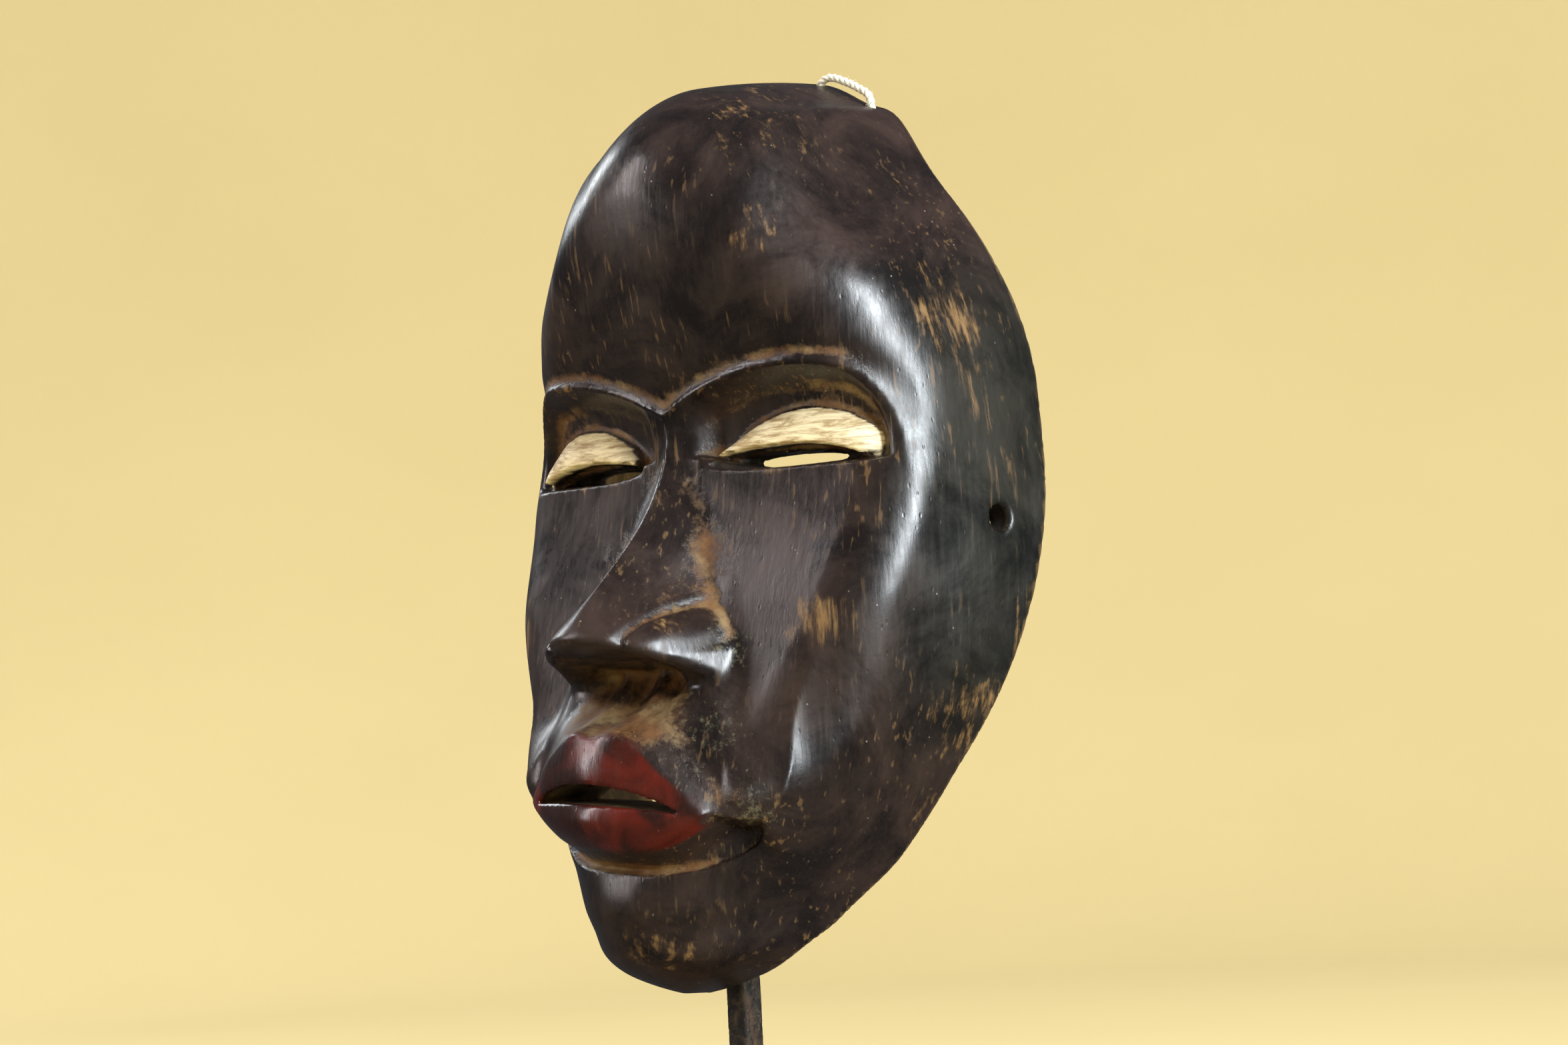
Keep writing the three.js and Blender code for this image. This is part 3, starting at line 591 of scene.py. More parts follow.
def carved_wood():
    """Dark rubbed patina, red lips, cream lids, ochre dust in the cuts and raw wood behind."""
    n = Nodes("carved_wood")
    at = n.place()
    lip = n.named("lip")
    cream = n.named("cream")
    dust = n.named("dust")
    wear = n.named("wear")
    inside = n.named("inside")

    # Dark ground: purple-brown in front, cooler and greener toward the sides
    cool = n.named("cool")
    cloud = n.noise(at, 34, 6, 0.68, 0.5)
    ground = n.mix(n.sharpen(cloud, 0.35, 0.68), (0.0065, 0.0046, 0.0045), (0.028, 0.0165, 0.0135))
    side = n.mix(n.sharpen(cloud, 0.35, 0.7), (0.0038, 0.0048, 0.0042), (0.016, 0.0165, 0.0125))
    dark = n.mix(n.times(cool, 0.85), ground, side)

    # Long rubbed streaks that follow the tool, and fine scratches
    steep = n.place(scale=(300, 420, 26), turn=(0.25, 0.12, 0.0))
    streak = n.noise(steep, 1.0, 4, 0.7)
    slant = n.place(scale=(700, 500, 45), turn=(0.5, -0.55, 0.3))
    scratch = n.noise(slant, 1.0, 2, 0.6)
    patch = n.noise(at, 55, 5, 0.65, 0.8)
    rub = n.math("ADD", wear, n.times(n.math("SUBTRACT", patch, 0.5), 1.6))
    rub = n.math("ADD", rub, n.times(n.math("SUBTRACT", streak, 0.5), 1.6))
    rubbed = n.sharpen(rub, 0.46, 0.98)
    tan = n.mix(n.sharpen(streak, 0.35, 0.65), (0.050, 0.026, 0.011), (0.20, 0.115, 0.045))
    colour = n.mix(n.times(rubbed, 0.8), dark, tan)
    fine = n.sharpen(scratch, 0.60, 0.70)
    fine = n.times(fine, n.sharpen(n.noise(at, 22, 3), 0.42, 0.62))
    colour = n.mix(n.times(fine, 0.55), colour, (0.13, 0.075, 0.032))
    nick = n.sharpen(n.cells(at, 210), 0.075, 0.03)
    nick = n.times(nick, n.sharpen(n.noise(at, 60, 2), 0.48, 0.56))
    colour = n.mix(n.times(nick, 0.7), colour, (0.22, 0.20, 0.17))

    # Ochre earth left in the cuts, and grey dust about the nose and mouth; beside the mouth the grey is also
    # a painted bluish sheen
    grit = n.noise(at, 520, 5, 0.8)
    held = n.math("ADD", dust, n.times(n.math("SUBTRACT", n.noise(at, 120, 5, 0.7), 0.5), 1.3))
    held = n.math("ADD", held, n.times(n.math("SUBTRACT", grit, 0.5), 0.8))
    ochre = n.mix(n.sharpen(n.noise(at, 90, 3), 0.4, 0.65), (0.13, 0.055, 0.014), (0.21, 0.140, 0.062))
    colour = n.mix(n.times(n.sharpen(held, 0.38, 1.0), 0.85), colour, ochre)
    grey = n.math("ADD", n.named("grey"), n.times(n.math("SUBTRACT", grit, 0.5), 2.4))
    colour = n.mix(n.times(n.sharpen(grey, 0.42, 1.0), 0.6), colour, (0.155, 0.15, 0.10))

    # Kaolin on the lids, flaked to the ochre below
    flake = n.noise(n.place(scale=(90, 90, 620), turn=(0.0, 0.22, 0.0)), 1.0, 6, 0.72, 0.6)
    chalk = n.mix(n.sharpen(flake, 0.35, 0.62), (0.27, 0.185, 0.085), (0.64, 0.57, 0.39))
    chalky = n.math("ADD", cream, n.times(n.math("SUBTRACT", flake, 0.5), 0.9))
    chalky = n.math("ADD", chalky, n.times(n.math("SUBTRACT", grit, 0.5), 0.5))
    chalk_cover = n.sharpen(chalky, 0.42, 0.7)
    colour = n.mix(chalk_cover, colour, chalk)

    # Red lips, worn to brown where they are touched
    blush = n.noise(at, 70, 3, 0.5, 0.6)
    red = n.mix(n.sharpen(blush, 0.36, 0.66), (0.016, 0.0045, 0.003), (0.070, 0.0075, 0.004))
    spot = n.sharpen(n.cells(at, 260), 0.09, 0.03)
    red = n.mix(n.times(spot, 0.35), red, (0.12, 0.09, 0.07))
    colour = n.mix(lip, colour, red)

    # Raw wood in the hollow and on the rim
    grain = n.noise(n.place(scale=(150, 150, 9)), 1.0, 5, 0.6, 0.4)
    raw = n.mix(n.sharpen(grain, 0.34, 0.66), (0.070, 0.042, 0.020), (0.185, 0.125, 0.060))
    raw = n.mix(n.times(n.sharpen(n.noise(at, 40, 4), 0.45, 0.7), 0.75), raw, (0.030, 0.020, 0.012))
    colour = n.mix(inside, colour, raw)
    # Painted shade: near black deep in the eye slits and on the side hole's bore
    colour = n.mix(n.times(n.named("shade"), 0.9), colour, (0.006, 0.004, 0.003))

    gloss = n.sharpen(cloud, 0.3, 0.7, 0.24, 0.42)
    gloss = n.math("ADD", gloss, n.times(rubbed, 0.16))
    gloss = n.math("ADD", gloss, n.times(n.sharpen(held, 0.4, 1.0), 0.32))
    gloss = n.math("ADD", gloss, n.times(chalk_cover, 0.32))
    gloss = n.math("ADD", gloss, n.times(inside, 0.35))
    gloss = n.math("ADD", gloss, n.times(lip, -0.06))
    gloss = n.math("ADD", gloss, n.times(n.math("SUBTRACT", scratch, 0.5), 0.25))

    tool = n.noise(n.place(scale=(1, 1, 0.45)), 46, 3, 0.5, 0.3)
    normal = n.bump(tool, 0.22, 0.0011)
    normal = n.bump(streak, 0.16, 0.00022, normal)
    normal = n.bump(scratch, 0.40, 0.00010, normal)
    normal = n.bump(n.noise(at, 800, 4, 0.7), 0.25, 0.00012, normal)
    normal = n.bump(n.math("ADD", n.times(grit, n.sharpen(held, 0.3, 1.0)), n.times(flake, cream)), 0.5,
                    0.0005, normal)
    pits = n.sharpen(n.cells(n.place(scale=(1, 1, 0.5)), 330), 0.02, 0.16)
    normal = n.bump(pits, 0.2, 0.00025, normal)
    return n.set(Base_Color=colour, Roughness=gloss, Normal=normal, Specular_IOR_Level=0.5)


def rusty_iron():
    n = Nodes("rusty_iron")
    at = n.place()
    pit = n.noise(at, 260, 6, 0.7, 0.4)
    run = n.noise(n.place(scale=(160, 160, 30)), 1.0, 4, 0.65)
    colour = n.mix(n.sharpen(pit, 0.42, 0.62), (0.012, 0.010, 0.009), (0.052, 0.036, 0.024))
    colour = n.mix(n.times(n.sharpen(run, 0.52, 0.74), 0.8), colour, (0.135, 0.062, 0.026))
    colour = n.mix(n.times(n.sharpen(n.noise(at, 900, 3), 0.6, 0.75), 0.5), colour, (0.16, 0.13, 0.09))
    rough = n.sharpen(pit, 0.3, 0.7, 0.5, 0.82)
    normal = n.bump(pit, 0.7, 0.0009)
    normal = n.bump(n.noise(at, 1100, 4, 0.7), 0.4, 0.0003, normal)
    return n.set(Base_Color=colour, Roughness=rough, Normal=normal, Metallic=0.35)


def blued_steel():
    n = Nodes("blued_steel")
    at = n.place()
    brush = n.noise(n.place(scale=(900, 900, 120)), 1.0, 3)
    colour = n.mix(n.sharpen(n.noise(at, 300, 4), 0.4, 0.65), (0.075, 0.078, 0.085), (0.16, 0.155, 0.15))
    return n.set(Base_Color=colour, Roughness=n.sharpen(brush, 0.3, 0.7, 0.3, 0.5),
                 Normal=n.bump(brush, 0.25, 0.0001), Metallic=0.9)


def black_lacquer():
    n = Nodes("black_lacquer")
    at = n.place()
    grain = n.noise(n.place(scale=(14, 230, 230)), 1.0, 5, 0.65, 0.3)
    colour = n.mix(n.sharpen(grain, 0.35, 0.7), (0.0075, 0.0068, 0.0062), (0.021, 0.018, 0.016))
    bevel = n.tree.nodes.new("ShaderNodeNewGeometry").outputs["Pointiness"]
    worn = n.times(n.sharpen(bevel, 0.505, 0.56), n.sharpen(n.noise(at, 130, 5, 0.7), 0.42, 0.62))
    colour = n.mix(n.times(worn, 0.7), colour, (0.12, 0.07, 0.035))
    rough = n.math("ADD", n.sharpen(n.noise(at, 60, 4), 0.3, 0.7, 0.34, 0.46), n.times(worn, 0.2))
    normal = n.bump(grain, 0.35, 0.0003)
    normal = n.bump(n.noise(at, 700, 3), 0.15, 0.0001, normal)
    return n.set(Base_Color=colour, Roughness=rough, Normal=normal)


def soft_rubber():
    n = Nodes("soft_rubber")
    at = n.place()
    colour = n.mix(n.sharpen(n.noise(at, 500, 4), 0.4, 0.7), (0.012, 0.012, 0.013), (0.034, 0.033, 0.032))
    return n.set(Base_Color=colour, Roughness=n.sharpen(n.noise(at, 220, 3), 0.3, 0.7, 0.6, 0.8),
                 Normal=n.bump(n.noise(at, 1500, 3), 0.25, 0.0001))


def green_felt():
    n = Nodes("green_felt")
    at = n.place()
    fibre = n.noise(at, 2400, 5, 0.8, 1.5)
    colour = n.mix(n.sharpen(fibre, 0.35, 0.65), (0.010, 0.020, 0.014), (0.040, 0.065, 0.046))
    return n.set(Base_Color=colour, Roughness=0.95, Normal=n.bump(fibre, 0.8, 0.0004), Sheen_Weight=0.3)


def cotton():
    n = Nodes("cotton")
    at = n.place()
    fibre = n.noise(at, 3800, 4, 0.7, 0.8)
    colour = n.mix(n.sharpen(fibre, 0.3, 0.7), (0.50, 0.47, 0.39), (0.78, 0.76, 0.69))
    colour = n.mix(n.times(n.sharpen(n.noise(at, 180, 3), 0.5, 0.75), 0.4), colour, (0.42, 0.36, 0.25))
    return n.set(Base_Color=colour, Roughness=0.92, Normal=n.bump(fibre, 0.6, 0.0002),
                 Sheen_Weight=0.35, Subsurface_Weight=0.1, Subsurface_Scale=0.001)


def pale_paper():
    n = Nodes("pale_paper")
    at = n.place()
    colour = n.mix(n.sharpen(n.noise(at, 3, 3), 0.3, 0.7), (0.545, 0.455, 0.232), (0.56, 0.468, 0.242))
    return n.set(Base_Color=colour, Roughness=0.9)


# ---------- the camera ----------


def add_camera():
    """A long lens, level with the mask's middle and to its left, rolled a little."""
    azimuth = math.radians(42)
    elevation = math.radians(-2.5)
    roll = math.radians(3)
    distance = 1.2076
    target = Vector((0, MASK_BACK * MM, MASK_LIFT * MM))
    back = Vector((math.sin(azimuth) * math.cos(elevation), -math.cos(azimuth) * math.cos(elevation),
                   math.sin(elevation)))
    right = Vector((0, 0, 1)).cross(back).normalized()
    up = back.cross(right)
    turned_right = right * math.cos(roll) - up * math.sin(roll)
    turned_up = up * math.cos(roll) + right * math.sin(roll)
    data = bpy.data.cameras.new("camera")
    data.lens = 100
    data.sensor_width = 36
    camera = bpy.data.objects.new("camera", data)
    bpy.context.scene.collection.objects.link(camera)
    turn = Matrix((turned_right, turned_up, back)).transposed()
    camera.matrix_world = Matrix.Translation(target + back * distance) @ turn.to_4x4()
    bpy.context.scene.camera = camera


# ---------- the hanging cord ----------

CORD_ROUTE = [  # metres: up through one hole, over the crown, back through the other
    (0.0142, 0.0419, 0.3184), (0.0102, 0.0427, 0.3245), (0.0073, 0.0433, 0.3320),
    (0.0065, 0.0433, 0.3400), (0.0065, 0.0433, 0.3475), (0.0074, 0.0434, 0.3509),
    (0.0103, 0.0435, 0.3520), (0.0155, 0.0435, 0.3504), (0.0205, 0.0435, 0.3479),
    (0.0245, 0.0434, 0.3452), (0.0255, 0.0433, 0.3414), (0.0254, 0.0433, 0.3335),
    (0.0249, 0.0433, 0.3265), (0.0226, 0.0427, 0.3215), (0.0184, 0.0419, 0.3182)]
CORD_KNOT = (0.0163, 0.0419, 0.3175)
CORD_STRANDS = 3
CORD_TWIST = 0.0062    # metres of cord for one turn of its strands


def smooth_route(points, step):
    """Even points along a centripetal Catmull-Rom curve."""
    points = [Vector(p) for p in points]
    points = [2 * points[0] - points[1]] + points + [2 * points[-1] - points[-2]]
    dense = []
    for a, b, c, d in zip(points, points[1:], points[2:], points[3:]):
        t1 = math.sqrt((b - a).length)
        t2 = t1 + math.sqrt((c - b).length)
        t3 = t2 + math.sqrt((d - c).length)
        for k in range(40):
            t = t1 + (t2 - t1) * k / 40
            ab = a * (t1 - t) / t1 + b * t / t1
            bc = b * (t2 - t) / (t2 - t1) + c * (t - t1) / (t2 - t1)
            cd = c * (t3 - t) / (t3 - t2) + d * (t - t2) / (t3 - t2)
            abc = ab * (t2 - t) / t2 + bc * t / t2
            bcd = bc * (t3 - t) / (t3 - t1) + cd * (t - t1) / (t3 - t1)
            dense.append(abc * (t2 - t) / (t2 - t1) + bcd * (t - t1) / (t2 - t1))
    dense.append(points[-2])
    dense = np.array(dense)
    along = np.concatenate([[0], np.cumsum(np.linalg.norm(np.diff(dense, axis=0), axis=1))])
    even = np.linspace(0, along[-1], max(2, round(along[-1] / step) + 1))
    return np.stack([np.interp(even, along, dense[:, k]) for k in range(3)], 1), along[-1]


def frames_along(line):
    """Two directions square to a line at each point, carried along it without twisting."""
    ahead = np.gradient(line, axis=0)
    ahead /= np.linalg.norm(ahead, axis=1)[:, None]
    first = np.cross(ahead[0], (0.3, 1.0, 0.2))
    firsts = []
    for way in ahead:
        first = first - way * (first @ way)
        first = first / np.linalg.norm(first)
        firsts.append(first)
    firsts = np.array(firsts)
    return firsts, np.cross(ahead, firsts)


def tube(line, radius, sides):
    """Points and quads of a tube along a line, with its two end points for the caps."""
    one, two = frames_along(line)
    angle = np.arange(sides) * 2 * np.pi / sides
    radius = np.broadcast_to(radius, (len(line),))[:, None, None]
    ring = np.cos(angle)[None, :, None] * one[:, None] + np.sin(angle)[None, :, None] * two[:, None]
    points = (line[:, None] + radius * ring).reshape(-1, 3)
    k = np.arange(len(line) - 1)[:, None] * sides
    j = np.arange(sides)[None, :]
    after = (j + 1) % sides
    quads = np.stack([k + j, k + after, k + sides + after, k + sides + j], 2).reshape(-1, 4)
    return points, quads


def closed_tube(line, radius, sides):
    """The same with both ends closed to a small ring's middle, as triangles."""
    points, quads = tube(line, radius, sides)
    last = len(points)
    points = np.concatenate([points, line[[0, -1]]])
    tris = np.concatenate([quads[:, [0, 1, 2]], quads[:, [0, 2, 3]]])
    j = np.arange(sides)
    after = (j + 1) % sides
    start = np.stack([np.full(sides, last), after, j], 1)
    end_ring = last - sides
    end = np.stack([np.full(sides, last + 1), end_ring + j, end_ring + after], 1)
    return points, np.concatenate([tris, start, end])


def joined(parts):
    points = []
    faces = []
    count = 0
    for part_points, part_faces in parts:
        points.append(part_points)
        faces.append(part_faces + count)
        count += len(part_points)
    return np.concatenate(points), np.concatenate(faces)


def add_cord(material):
    """Three strands twisted together, with a few loose fibres and a knot inside the hollow."""
    rng = np.random.default_rng(5)
    line, length = smooth_route(CORD_ROUTE, 0.00022)
    one, two = frames_along(line)
    along = np.linspace(0, length, len(line))
    radius = CORD_WIDE * MM / 2
    strand = radius * 0.54
    parts = []
    for k in range(CORD_STRANDS):
        turn = 2 * np.pi * (along / CORD_TWIST + k / CORD_STRANDS)
        off = (radius - strand) * (np.cos(turn)[:, None] * one + np.sin(turn)[:, None] * two)
        wave = strand * (1 + 0.05 * np.sin(along * 5200 + 2 * k))
        parts.append(closed_tube(line + off, wave, 9))
    for _ in range(150):
        at = rng.integers(4, len(line) - 14)
        turn = rng.uniform(0, 2 * np.pi)
        out = np.cos(turn) * one[at] + np.sin(turn) * two[at]
        lean = (line[at + 8] - line[at]) * rng.uniform(-0.6, 1.2)
        reach = rng.uniform(0.0003, 0.0010)
        t = np.linspace(0, 1, 7)[:, None]
        curl = rng.normal(0, 0.00022, 3)
        hair = line[at] + out * (radius * 0.92 + reach * t ** 0.8) + lean * t + curl * np.sin(3 * t)
        parts.append(closed_tube(hair, 0.000028, 4))
    points, faces = joined(parts)
    piece = mesh_object("cotton_cord", points, faces)
    piece.data.materials.append(material)
    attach(piece, "mask")
    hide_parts("hanging_cord")
    knot = add_knot(rng, material)


def add_knot(rng, material):
    """An overhand knot pulled tight round both ends of the cord, with two short frayed tails."""
    middle = np.array(CORD_KNOT)
    t = np.linspace(0.10, 2 * np.pi - 0.35, 120)
    wide = 0.00185
    loop = np.stack([
        wide * (np.sin(t) + 1.35 * np.sin(2 * t)) * 0.62,
        wide * (np.cos(t) - 1.35 * np.cos(2 * t)) * 0.50,
        -wide * 0.55 * np.sin(3 * t)], 1)
    parts = [closed_tube(middle + loop, CORD_WIDE * MM * 0.42, 10)]
    for side in (-1, 1):
        s = np.linspace(0, 1, 14)[:, None]
        start = np.array([side * 0.0016, 0.0004, -0.0012])
        drop = np.array([side * 0.0022, 0.0010, -0.0042])
        curl = np.array([side * 0.0008, 0.0009, -0.0010])
        tail = middle + start + s * drop + s * s * curl
        parts.append(closed_tube(tail, 0.00085 * (1 + 0.3 * s[:, 0] ** 3), 9))
        for _ in range(16):
            way = np.array([side * 0.2, 0.15, -1.0]) + rng.normal(0, 0.4, 3)
            way = way / np.linalg.norm(way)
            u = np.linspace(0, 1, 5)[:, None]
            root = tail[-1] + rng.normal(0, 0.00035, 3)
            parts.append(closed_tube(root + way * u * rng.uniform(0.0008, 0.002), 0.00003, 4))
    points, faces = joined(parts)
    piece = mesh_object("cord_knot", points, faces)
    piece.data.materials.append(material)
    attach(piece, "mask")
    return piece


# ---------- the mask ----------


def lip_share(ax, y, z):
    """1 on the painted lips."""
    front, around = mouth_sides(ax, y, z)
    return ramp(0.15, -0.15, around) * ramp(-1.6, -0.9, front)


def lid_share(ax, y, z):
    """1 on the whitened lids."""
    low, high, across = lid_bounds(ax)
    inside = ramp(low - 0.4, low + 0.5, z) * ramp(high + 0.4, high - 2.2, z)
    return inside * ramp(0.0, 0.10, 1 - across * across) * ramp(-6, -14, y)


def spot(points, at, reach):
    """A soft patch about a point; reach may differ along x, y and z."""
    gap = (points - np.array(at)) / np.array(reach)
    return np.exp(-(gap * gap).sum(1))


def wood_values(points):
    """What the wood's material is told at each point of the mask."""
    x, y, height = points.T
    ax = np.abs(x)
    z = leaned(x, height)
    fine = curl_at(points, 1.6)
    broad = curl_at(points, 5.0)
    lip = lip_share(ax, y, z)
    cream = lid_share(ax, y, z)

    # The hollow and the flat rim show raw wood; the front has the patina
    outside = outer_form(ax, y, z)
    behind = through(z, RIM_BACK) - y
    inside = np.maximum(ramp(-1.0, -3.0, outside), ramp(1.6, 0.5, behind))

    up = z - chin_groove(ax)
    under_lip = bell(up - 0.6, 2.2) * ramp(48, 34, ax) * ramp(-60, -66, y)
    t = brow_distance(ax, z)
    socket = ramp(0.5, -2.0, t) * ramp(10, 17, z) * ramp(70, 60, ax) * ramp(4, 12, ax) * (y < -15)
    crease = bell(t - 3.4, 2.2) * ramp(66, 56, ax) * (y < -15)
    nose_side = ramp(-34, -26, z) * ramp(8, -12, z) * ramp(30, 24, ax) * ramp(6, 12, ax) * (y < -42)
    dust = 0.55 * under_lip + 0.35 * socket * ramp(0.0, 0.5, broad) + 0.14 * socket
    dust = dust + 0.50 * crease + 0.30 * nose_side + 0.40 * np.clip(fine, 0, 1)
    skin = (face(ax, z) - y) / 1.3
    seam = bell(nose(ax, y, z) - skin, 3.2) * ramp(-37, -33, z) * ramp(30, 16, z)
    around = mouth_sides(ax, y, z)[1]
    lip_seam = bell(around - 0.8, 1.3) * ramp(-60, -64, y) * ramp(-98, -90, z) * (1 - lip)
    under_nose = ramp(-62, -54, z) * ramp(-33, -36, z) * ramp(26, 14, ax)
    dust = dust + 0.34 * seam + 0.40 * lip_seam + 0.50 * under_nose

    wear = 0.10 + 0.22 * np.clip(-fine - 0.5, 0, 1) + 0.15 * np.clip(-broad - 0.4, 0, 1)
    for at, reach, much in WORN:
        wear = wear + much * spot(points, at, reach)
    wear = np.where(cream + lip > 0.5, wear * 0.3, wear)
    wear = wear * ramp(18, 8, y) * 0.7 + wear * 0.3

    # Grey dust about the nose and mouth, which beside the mouth is also a painted sheen
    grey = np.zeros(len(points))
    for at, reach, much in DUST_AND_SHEEN:
        grey = grey + much * spot(points, at, reach)

    cool = ramp(56, 74, ax) * ramp(-50, -15, y)
    # Painted shade: the side hole's bore and the depths of the eye slits are made near black
    bore = ramp(1.2, 0.5, np.abs(side_hole(ax, y, z))) * ramp(-0.6, -1.8, outside)
    shade = np.maximum(ramp(0.5, 2.5, eye_depth(ax, y, z)), bore)
    return {"lip": lip, "cream": cream, "inside": inside, "dust": dust, "wear": wear, "grey": grey,
            "cool": cool, "shade": shade}


def eye_depth(ax, y, z):
    """How deep a point lies in an eye's slit."""
    in_slit = ramp(2.0, 0.3, eye_slit(ax, np.minimum(y, -16), z))
    return in_slit * np.maximum(y - face(ax, z), 0)


WORN = [  # places rubbed to bare wood: point, reach, how much
    ((69, -8, 50), (8, 12, 20), 0.66),
    ((73, -8, 84), (12, 14, 20), 0.34),
    ((56, -50, -27), (11, 10, 9), 0.80),
    ((48, -54, -32), (8, 8, 5), 0.30),
    ((30, -56, 96), (20, 14, 9), 0.42),
    ((38, -52, 78), (14, 12, 9), 0.38),
    ((30, -30, 116), (26, 22, 9), 0.36),
    ((6, -70, -118), (24, 12, 10), 0.42),
    ((24, -66, -104), (16, 10, 8), 0.36),
    ((66, -6, -56), (10, 12, 36), 0.40),
    ((78, 2, 20), (8, 14, 60), 0.24),
    ((-60, -44, -27), (11, 10, 12), 0.55),
    ((33, -48, 3), (18, 8, 6), 0.40),
    ((13, -62, -6), (5, 8, 10), 0.50),
    ((16, -74, -24), (6, 8, 5), 0.40),
    ((-8, -58, 88), (10, 8, 18), 0.22),
    ((20, -88, -33), (9, 8, 5), 0.30),
]
# Dust spots; the two beside the mouth are a painted bluish sheen as well
DUST_AND_SHEEN = [  # places with grey dust: point, reach, how much
    ((28, -56, -34), (8, 9, 9), 0.55),
    ((-26, -50, -30), (6, 8, 8), 0.30),
    ((40, -62, -78), (9, 9, 11), 0.55),
    ((30, -64, -56), (12, 9, 9), 0.42),
    ((0, -66, -50), (24, 10, 9), 0.45),
    ((19, -58, -8), (7, 10, 14), 0.36),
]


def add_mask(material):
    points, quads = mask_surface()
    piece = mesh_object("carved_mask", to_row(points), quads)
    for name, values in wood_values(points).items():
        paint(piece, name, values)
    piece.data.materials.append(material)
    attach(piece, "mask")
    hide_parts("mask")
    return piece


# ---------- the stand ----------


def add_post(material):
    """A square forged bar with softened, uneven faces."""
    rng = np.random.default_rng(11)
    half = 3.6 * MM
    low, high = 10.4 * MM, 306 * MM
    rows = 420
    sides = 48
    angle = (np.arange(sides) + 0.5) * 2 * np.pi / sides
    c, s = np.cos(angle), np.sin(angle)
    squareness = (np.abs(c) ** 11 + np.abs(s) ** 11) ** (-1 / 11)
    heights = np.linspace(low, high, rows)
    waves = rng.uniform(0, 2 * np.pi, (10, 2))
    pits = np.zeros((rows, sides))
    for k, (a, b) in enumerate(waves):
        pits += np.sin(heights[:, None] * (160 + 210 * k) + a) * np.sin(angle * (1 + k % 5) + b) / (2 + k)
    pits += rng.normal(0, 0.45, (rows, sides))
    inset = np.clip(pits * 0.00006, -0.0003, 0.00012) - 0.00010
    end = np.minimum(heights - low, high - heights)[:, None]
    inset = inset - 0.0007 * np.exp(-end / 0.0005)
    reach = half * squareness[None, :] + inset
    reach = np.where(heights[:, None] < 21 * MM, np.minimum(reach, half * squareness - 0.0001), reach)
    ring = np.stack([reach * c, reach * s, np.broadcast_to(heights[:, None], reach.shape)], 2)
    points = ring.reshape(-1, 3)
    k = np.arange(rows - 1)[:, None] * sides
    j = np.arange(sides)[None, :]
    after = (j + 1) % sides
    quads = np.stack([k + j, k + after, k + sides + after, k + sides + j], 2).reshape(-1, 4)
    tris = np.concatenate([quads[:, [0, 1, 2]], quads[:, [0, 2, 3]]])
    count = len(points)
    points = np.concatenate([points, [(0, 0, low), (0, 0, high)]])
    j = np.arange(sides)
    after = (j + 1) % sides
    under = np.stack([np.full(sides, count), after, j], 1)
    top = count - sides
    over = np.stack([np.full(sides, count + 1), top + j, top + after], 1)
    piece = mesh_object("iron_post", points, np.concatenate([tris, under, over]))
    piece.data.materials.append(material)
    return piece


def finish_nodes(materials):
    """Materials for the CAD nodes that are shown as they are."""
    for name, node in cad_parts.items():
        kind = next((k for k in NODE_LOOKS if name.startswith(k)), None)
        look = materials[NODE_LOOKS[kind]] if kind else materials["iron"]
        node.data.materials.clear()
        node.data.materials.append(look)


NODE_LOOKS = {"mask": "wood", "hanging_cord": "cotton", "base_screw": "steel", "base": "lacquer",
              "post": "iron", "arm_screw": "steel", "arm": "iron", "sleeve": "rubber",
              "stop_sleeve": "rubber", "stop_rod": "iron", "foot": "felt"}


# ---------- the surroundings ----------


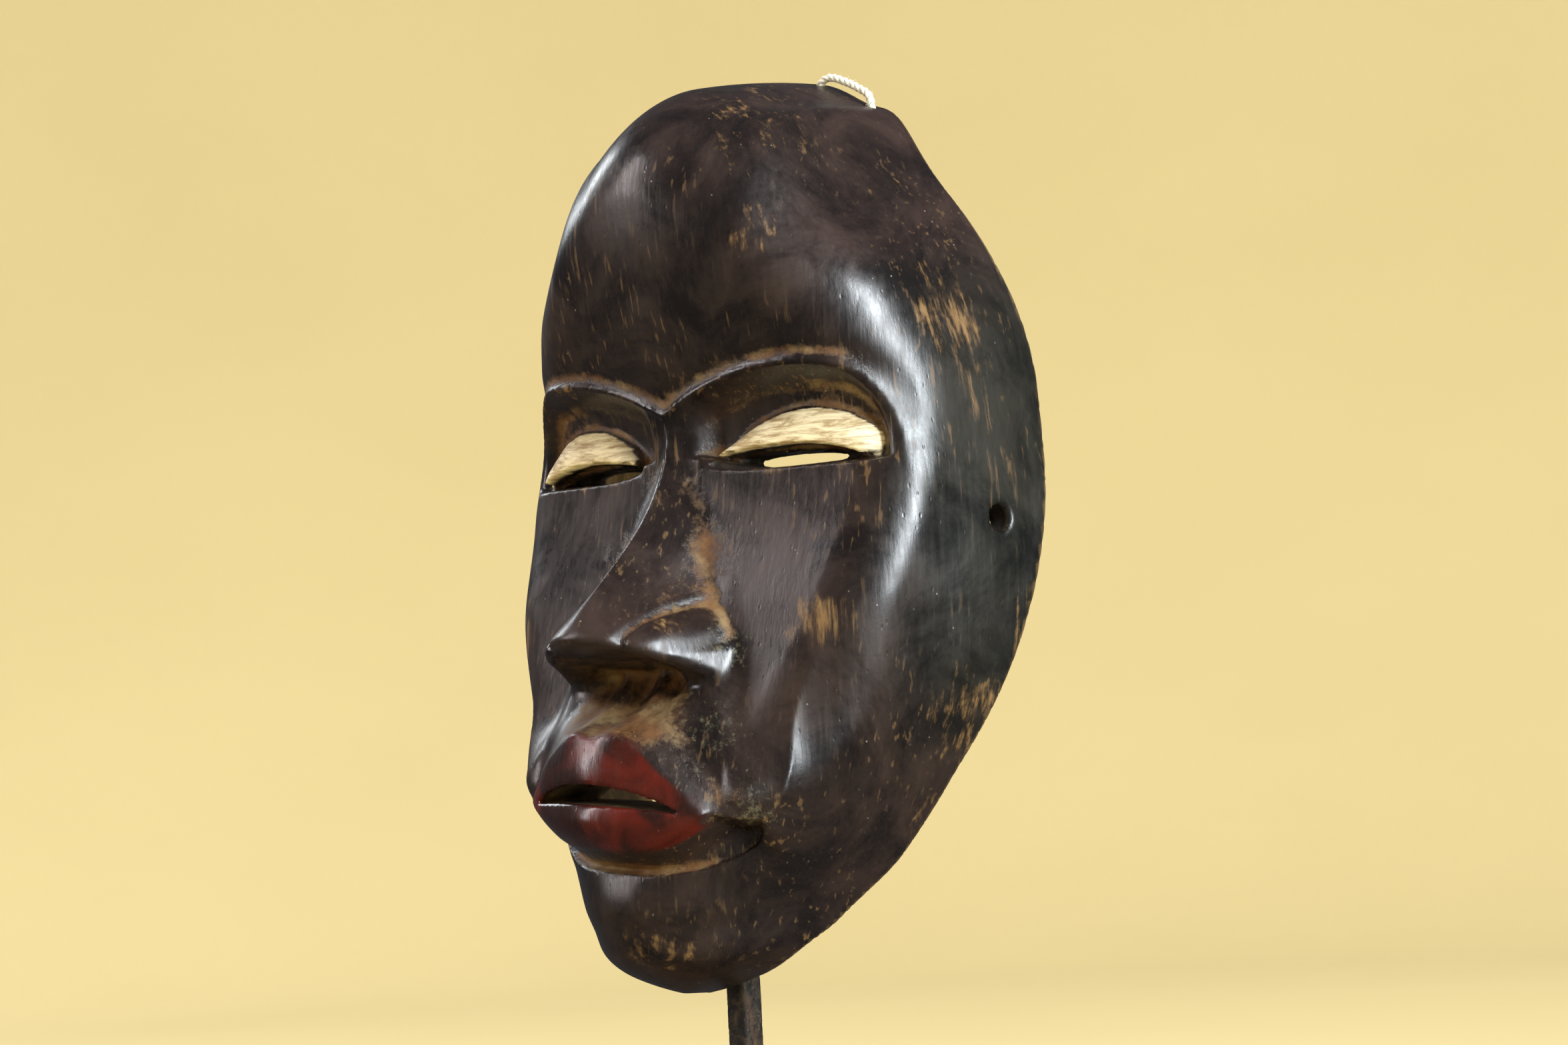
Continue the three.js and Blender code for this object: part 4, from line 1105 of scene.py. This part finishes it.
def add_floor():
    """A wide pale bowl: flat under the object and rising all round."""
    rings = 90
    sides = 128
    reach = np.concatenate([[0.02], np.linspace(0.05, 1.6, 20), np.linspace(1.65, 3.2, rings - 21)])
    over = np.maximum(reach - 1.6, 0) / 1.6
    height = 2.6 * (1 - np.sqrt(np.maximum(1 - over * over, 0)))
    angle = np.arange(sides) * 2 * np.pi / sides
    points = np.stack([
        reach[:, None] * np.cos(angle), reach[:, None] * np.sin(angle),
        np.broadcast_to(height[:, None], (rings, sides))], 2).reshape(-1, 3)
    k = np.arange(rings - 1)[:, None] * sides
    j = np.arange(sides)[None, :]
    after = (j + 1) % sides
    quads = np.stack([k + j, k + sides + j, k + sides + after, k + after], 2).reshape(-1, 4)
    tris = np.concatenate([quads[:, [0, 1, 2]], quads[:, [0, 2, 3]]])
    middle = np.stack([np.full(sides, len(points)), np.arange(sides), (np.arange(sides) + 1) % sides], 1)
    points = np.concatenate([points, [(0, 0, 0)]])
    floor = mesh_object("floor", points, np.concatenate([tris, middle]))
    floor.data.materials.append(pale_paper())
    floor.visible_glossy = False


def add_light(name, place, aim, power, wide, high, colour, shine=True):
    """A soft area light; without shine it lights surfaces but isn't mirrored in them."""
    data = bpy.data.lights.new(name, "AREA")
    data.shape = "RECTANGLE"
    data.size = wide
    data.size_y = high
    data.energy = power
    data.color = colour
    lamp = bpy.data.objects.new(name, data)
    bpy.context.scene.collection.objects.link(lamp)
    lamp.location = place
    way = Vector(aim) - Vector(place)
    lamp.rotation_euler = way.to_track_quat("-Z", "Y").to_euler()
    lamp.visible_camera = False
    lamp.visible_glossy = shine


def add_lights():
    """A room's soft light from above, and four soft boxes that draw the mask's edges."""
    middle = (0, 0, 0.23)
    add_light("room", (0, 0, 3.4), (0, 0, 0), 150, 3.2, 3.2, (1.0, 0.99, 0.96), shine=False)
    add_light("edge", (1.75, -0.15, 0.80), middle, 66, 0.30, 1.2, (0.88, 0.95, 1.0))
    add_light("front_strip", (-1.22, -1.30, 1.12), middle, 20, 0.13, 1.5, (1.0, 0.92, 0.93))
    add_light("far_edge", (-1.90, 0.30, 1.15), middle, 9, 0.40, 0.6, (0.92, 0.97, 1.0))
    add_light("top", (-0.2, -0.9, 1.8), middle, 6, 1.0, 0.7, (0.96, 0.98, 1.0), shine=False)
    world = bpy.data.worlds.new("world")
    bpy.context.scene.world = world
    world.use_nodes = True
    background = world.node_tree.nodes["Background"]
    background.inputs["Color"].default_value = (0.90, 0.92, 1.0, 1)
    background.inputs["Strength"].default_value = 0.10
    bpy.context.scene.view_settings.view_transform = "Standard"


# ---------- everything in order ----------

add_camera()
looks = {"wood": carved_wood(), "cotton": cotton(), "iron": rusty_iron(), "steel": blued_steel(),
         "lacquer": black_lacquer(), "rubber": soft_rubber(), "felt": green_felt()}
add_cord(looks["cotton"])
add_mask(looks["wood"])
finish_nodes(looks)
post = add_post(looks["iron"])
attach(post, "stand")
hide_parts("post")
add_floor()
add_lights()
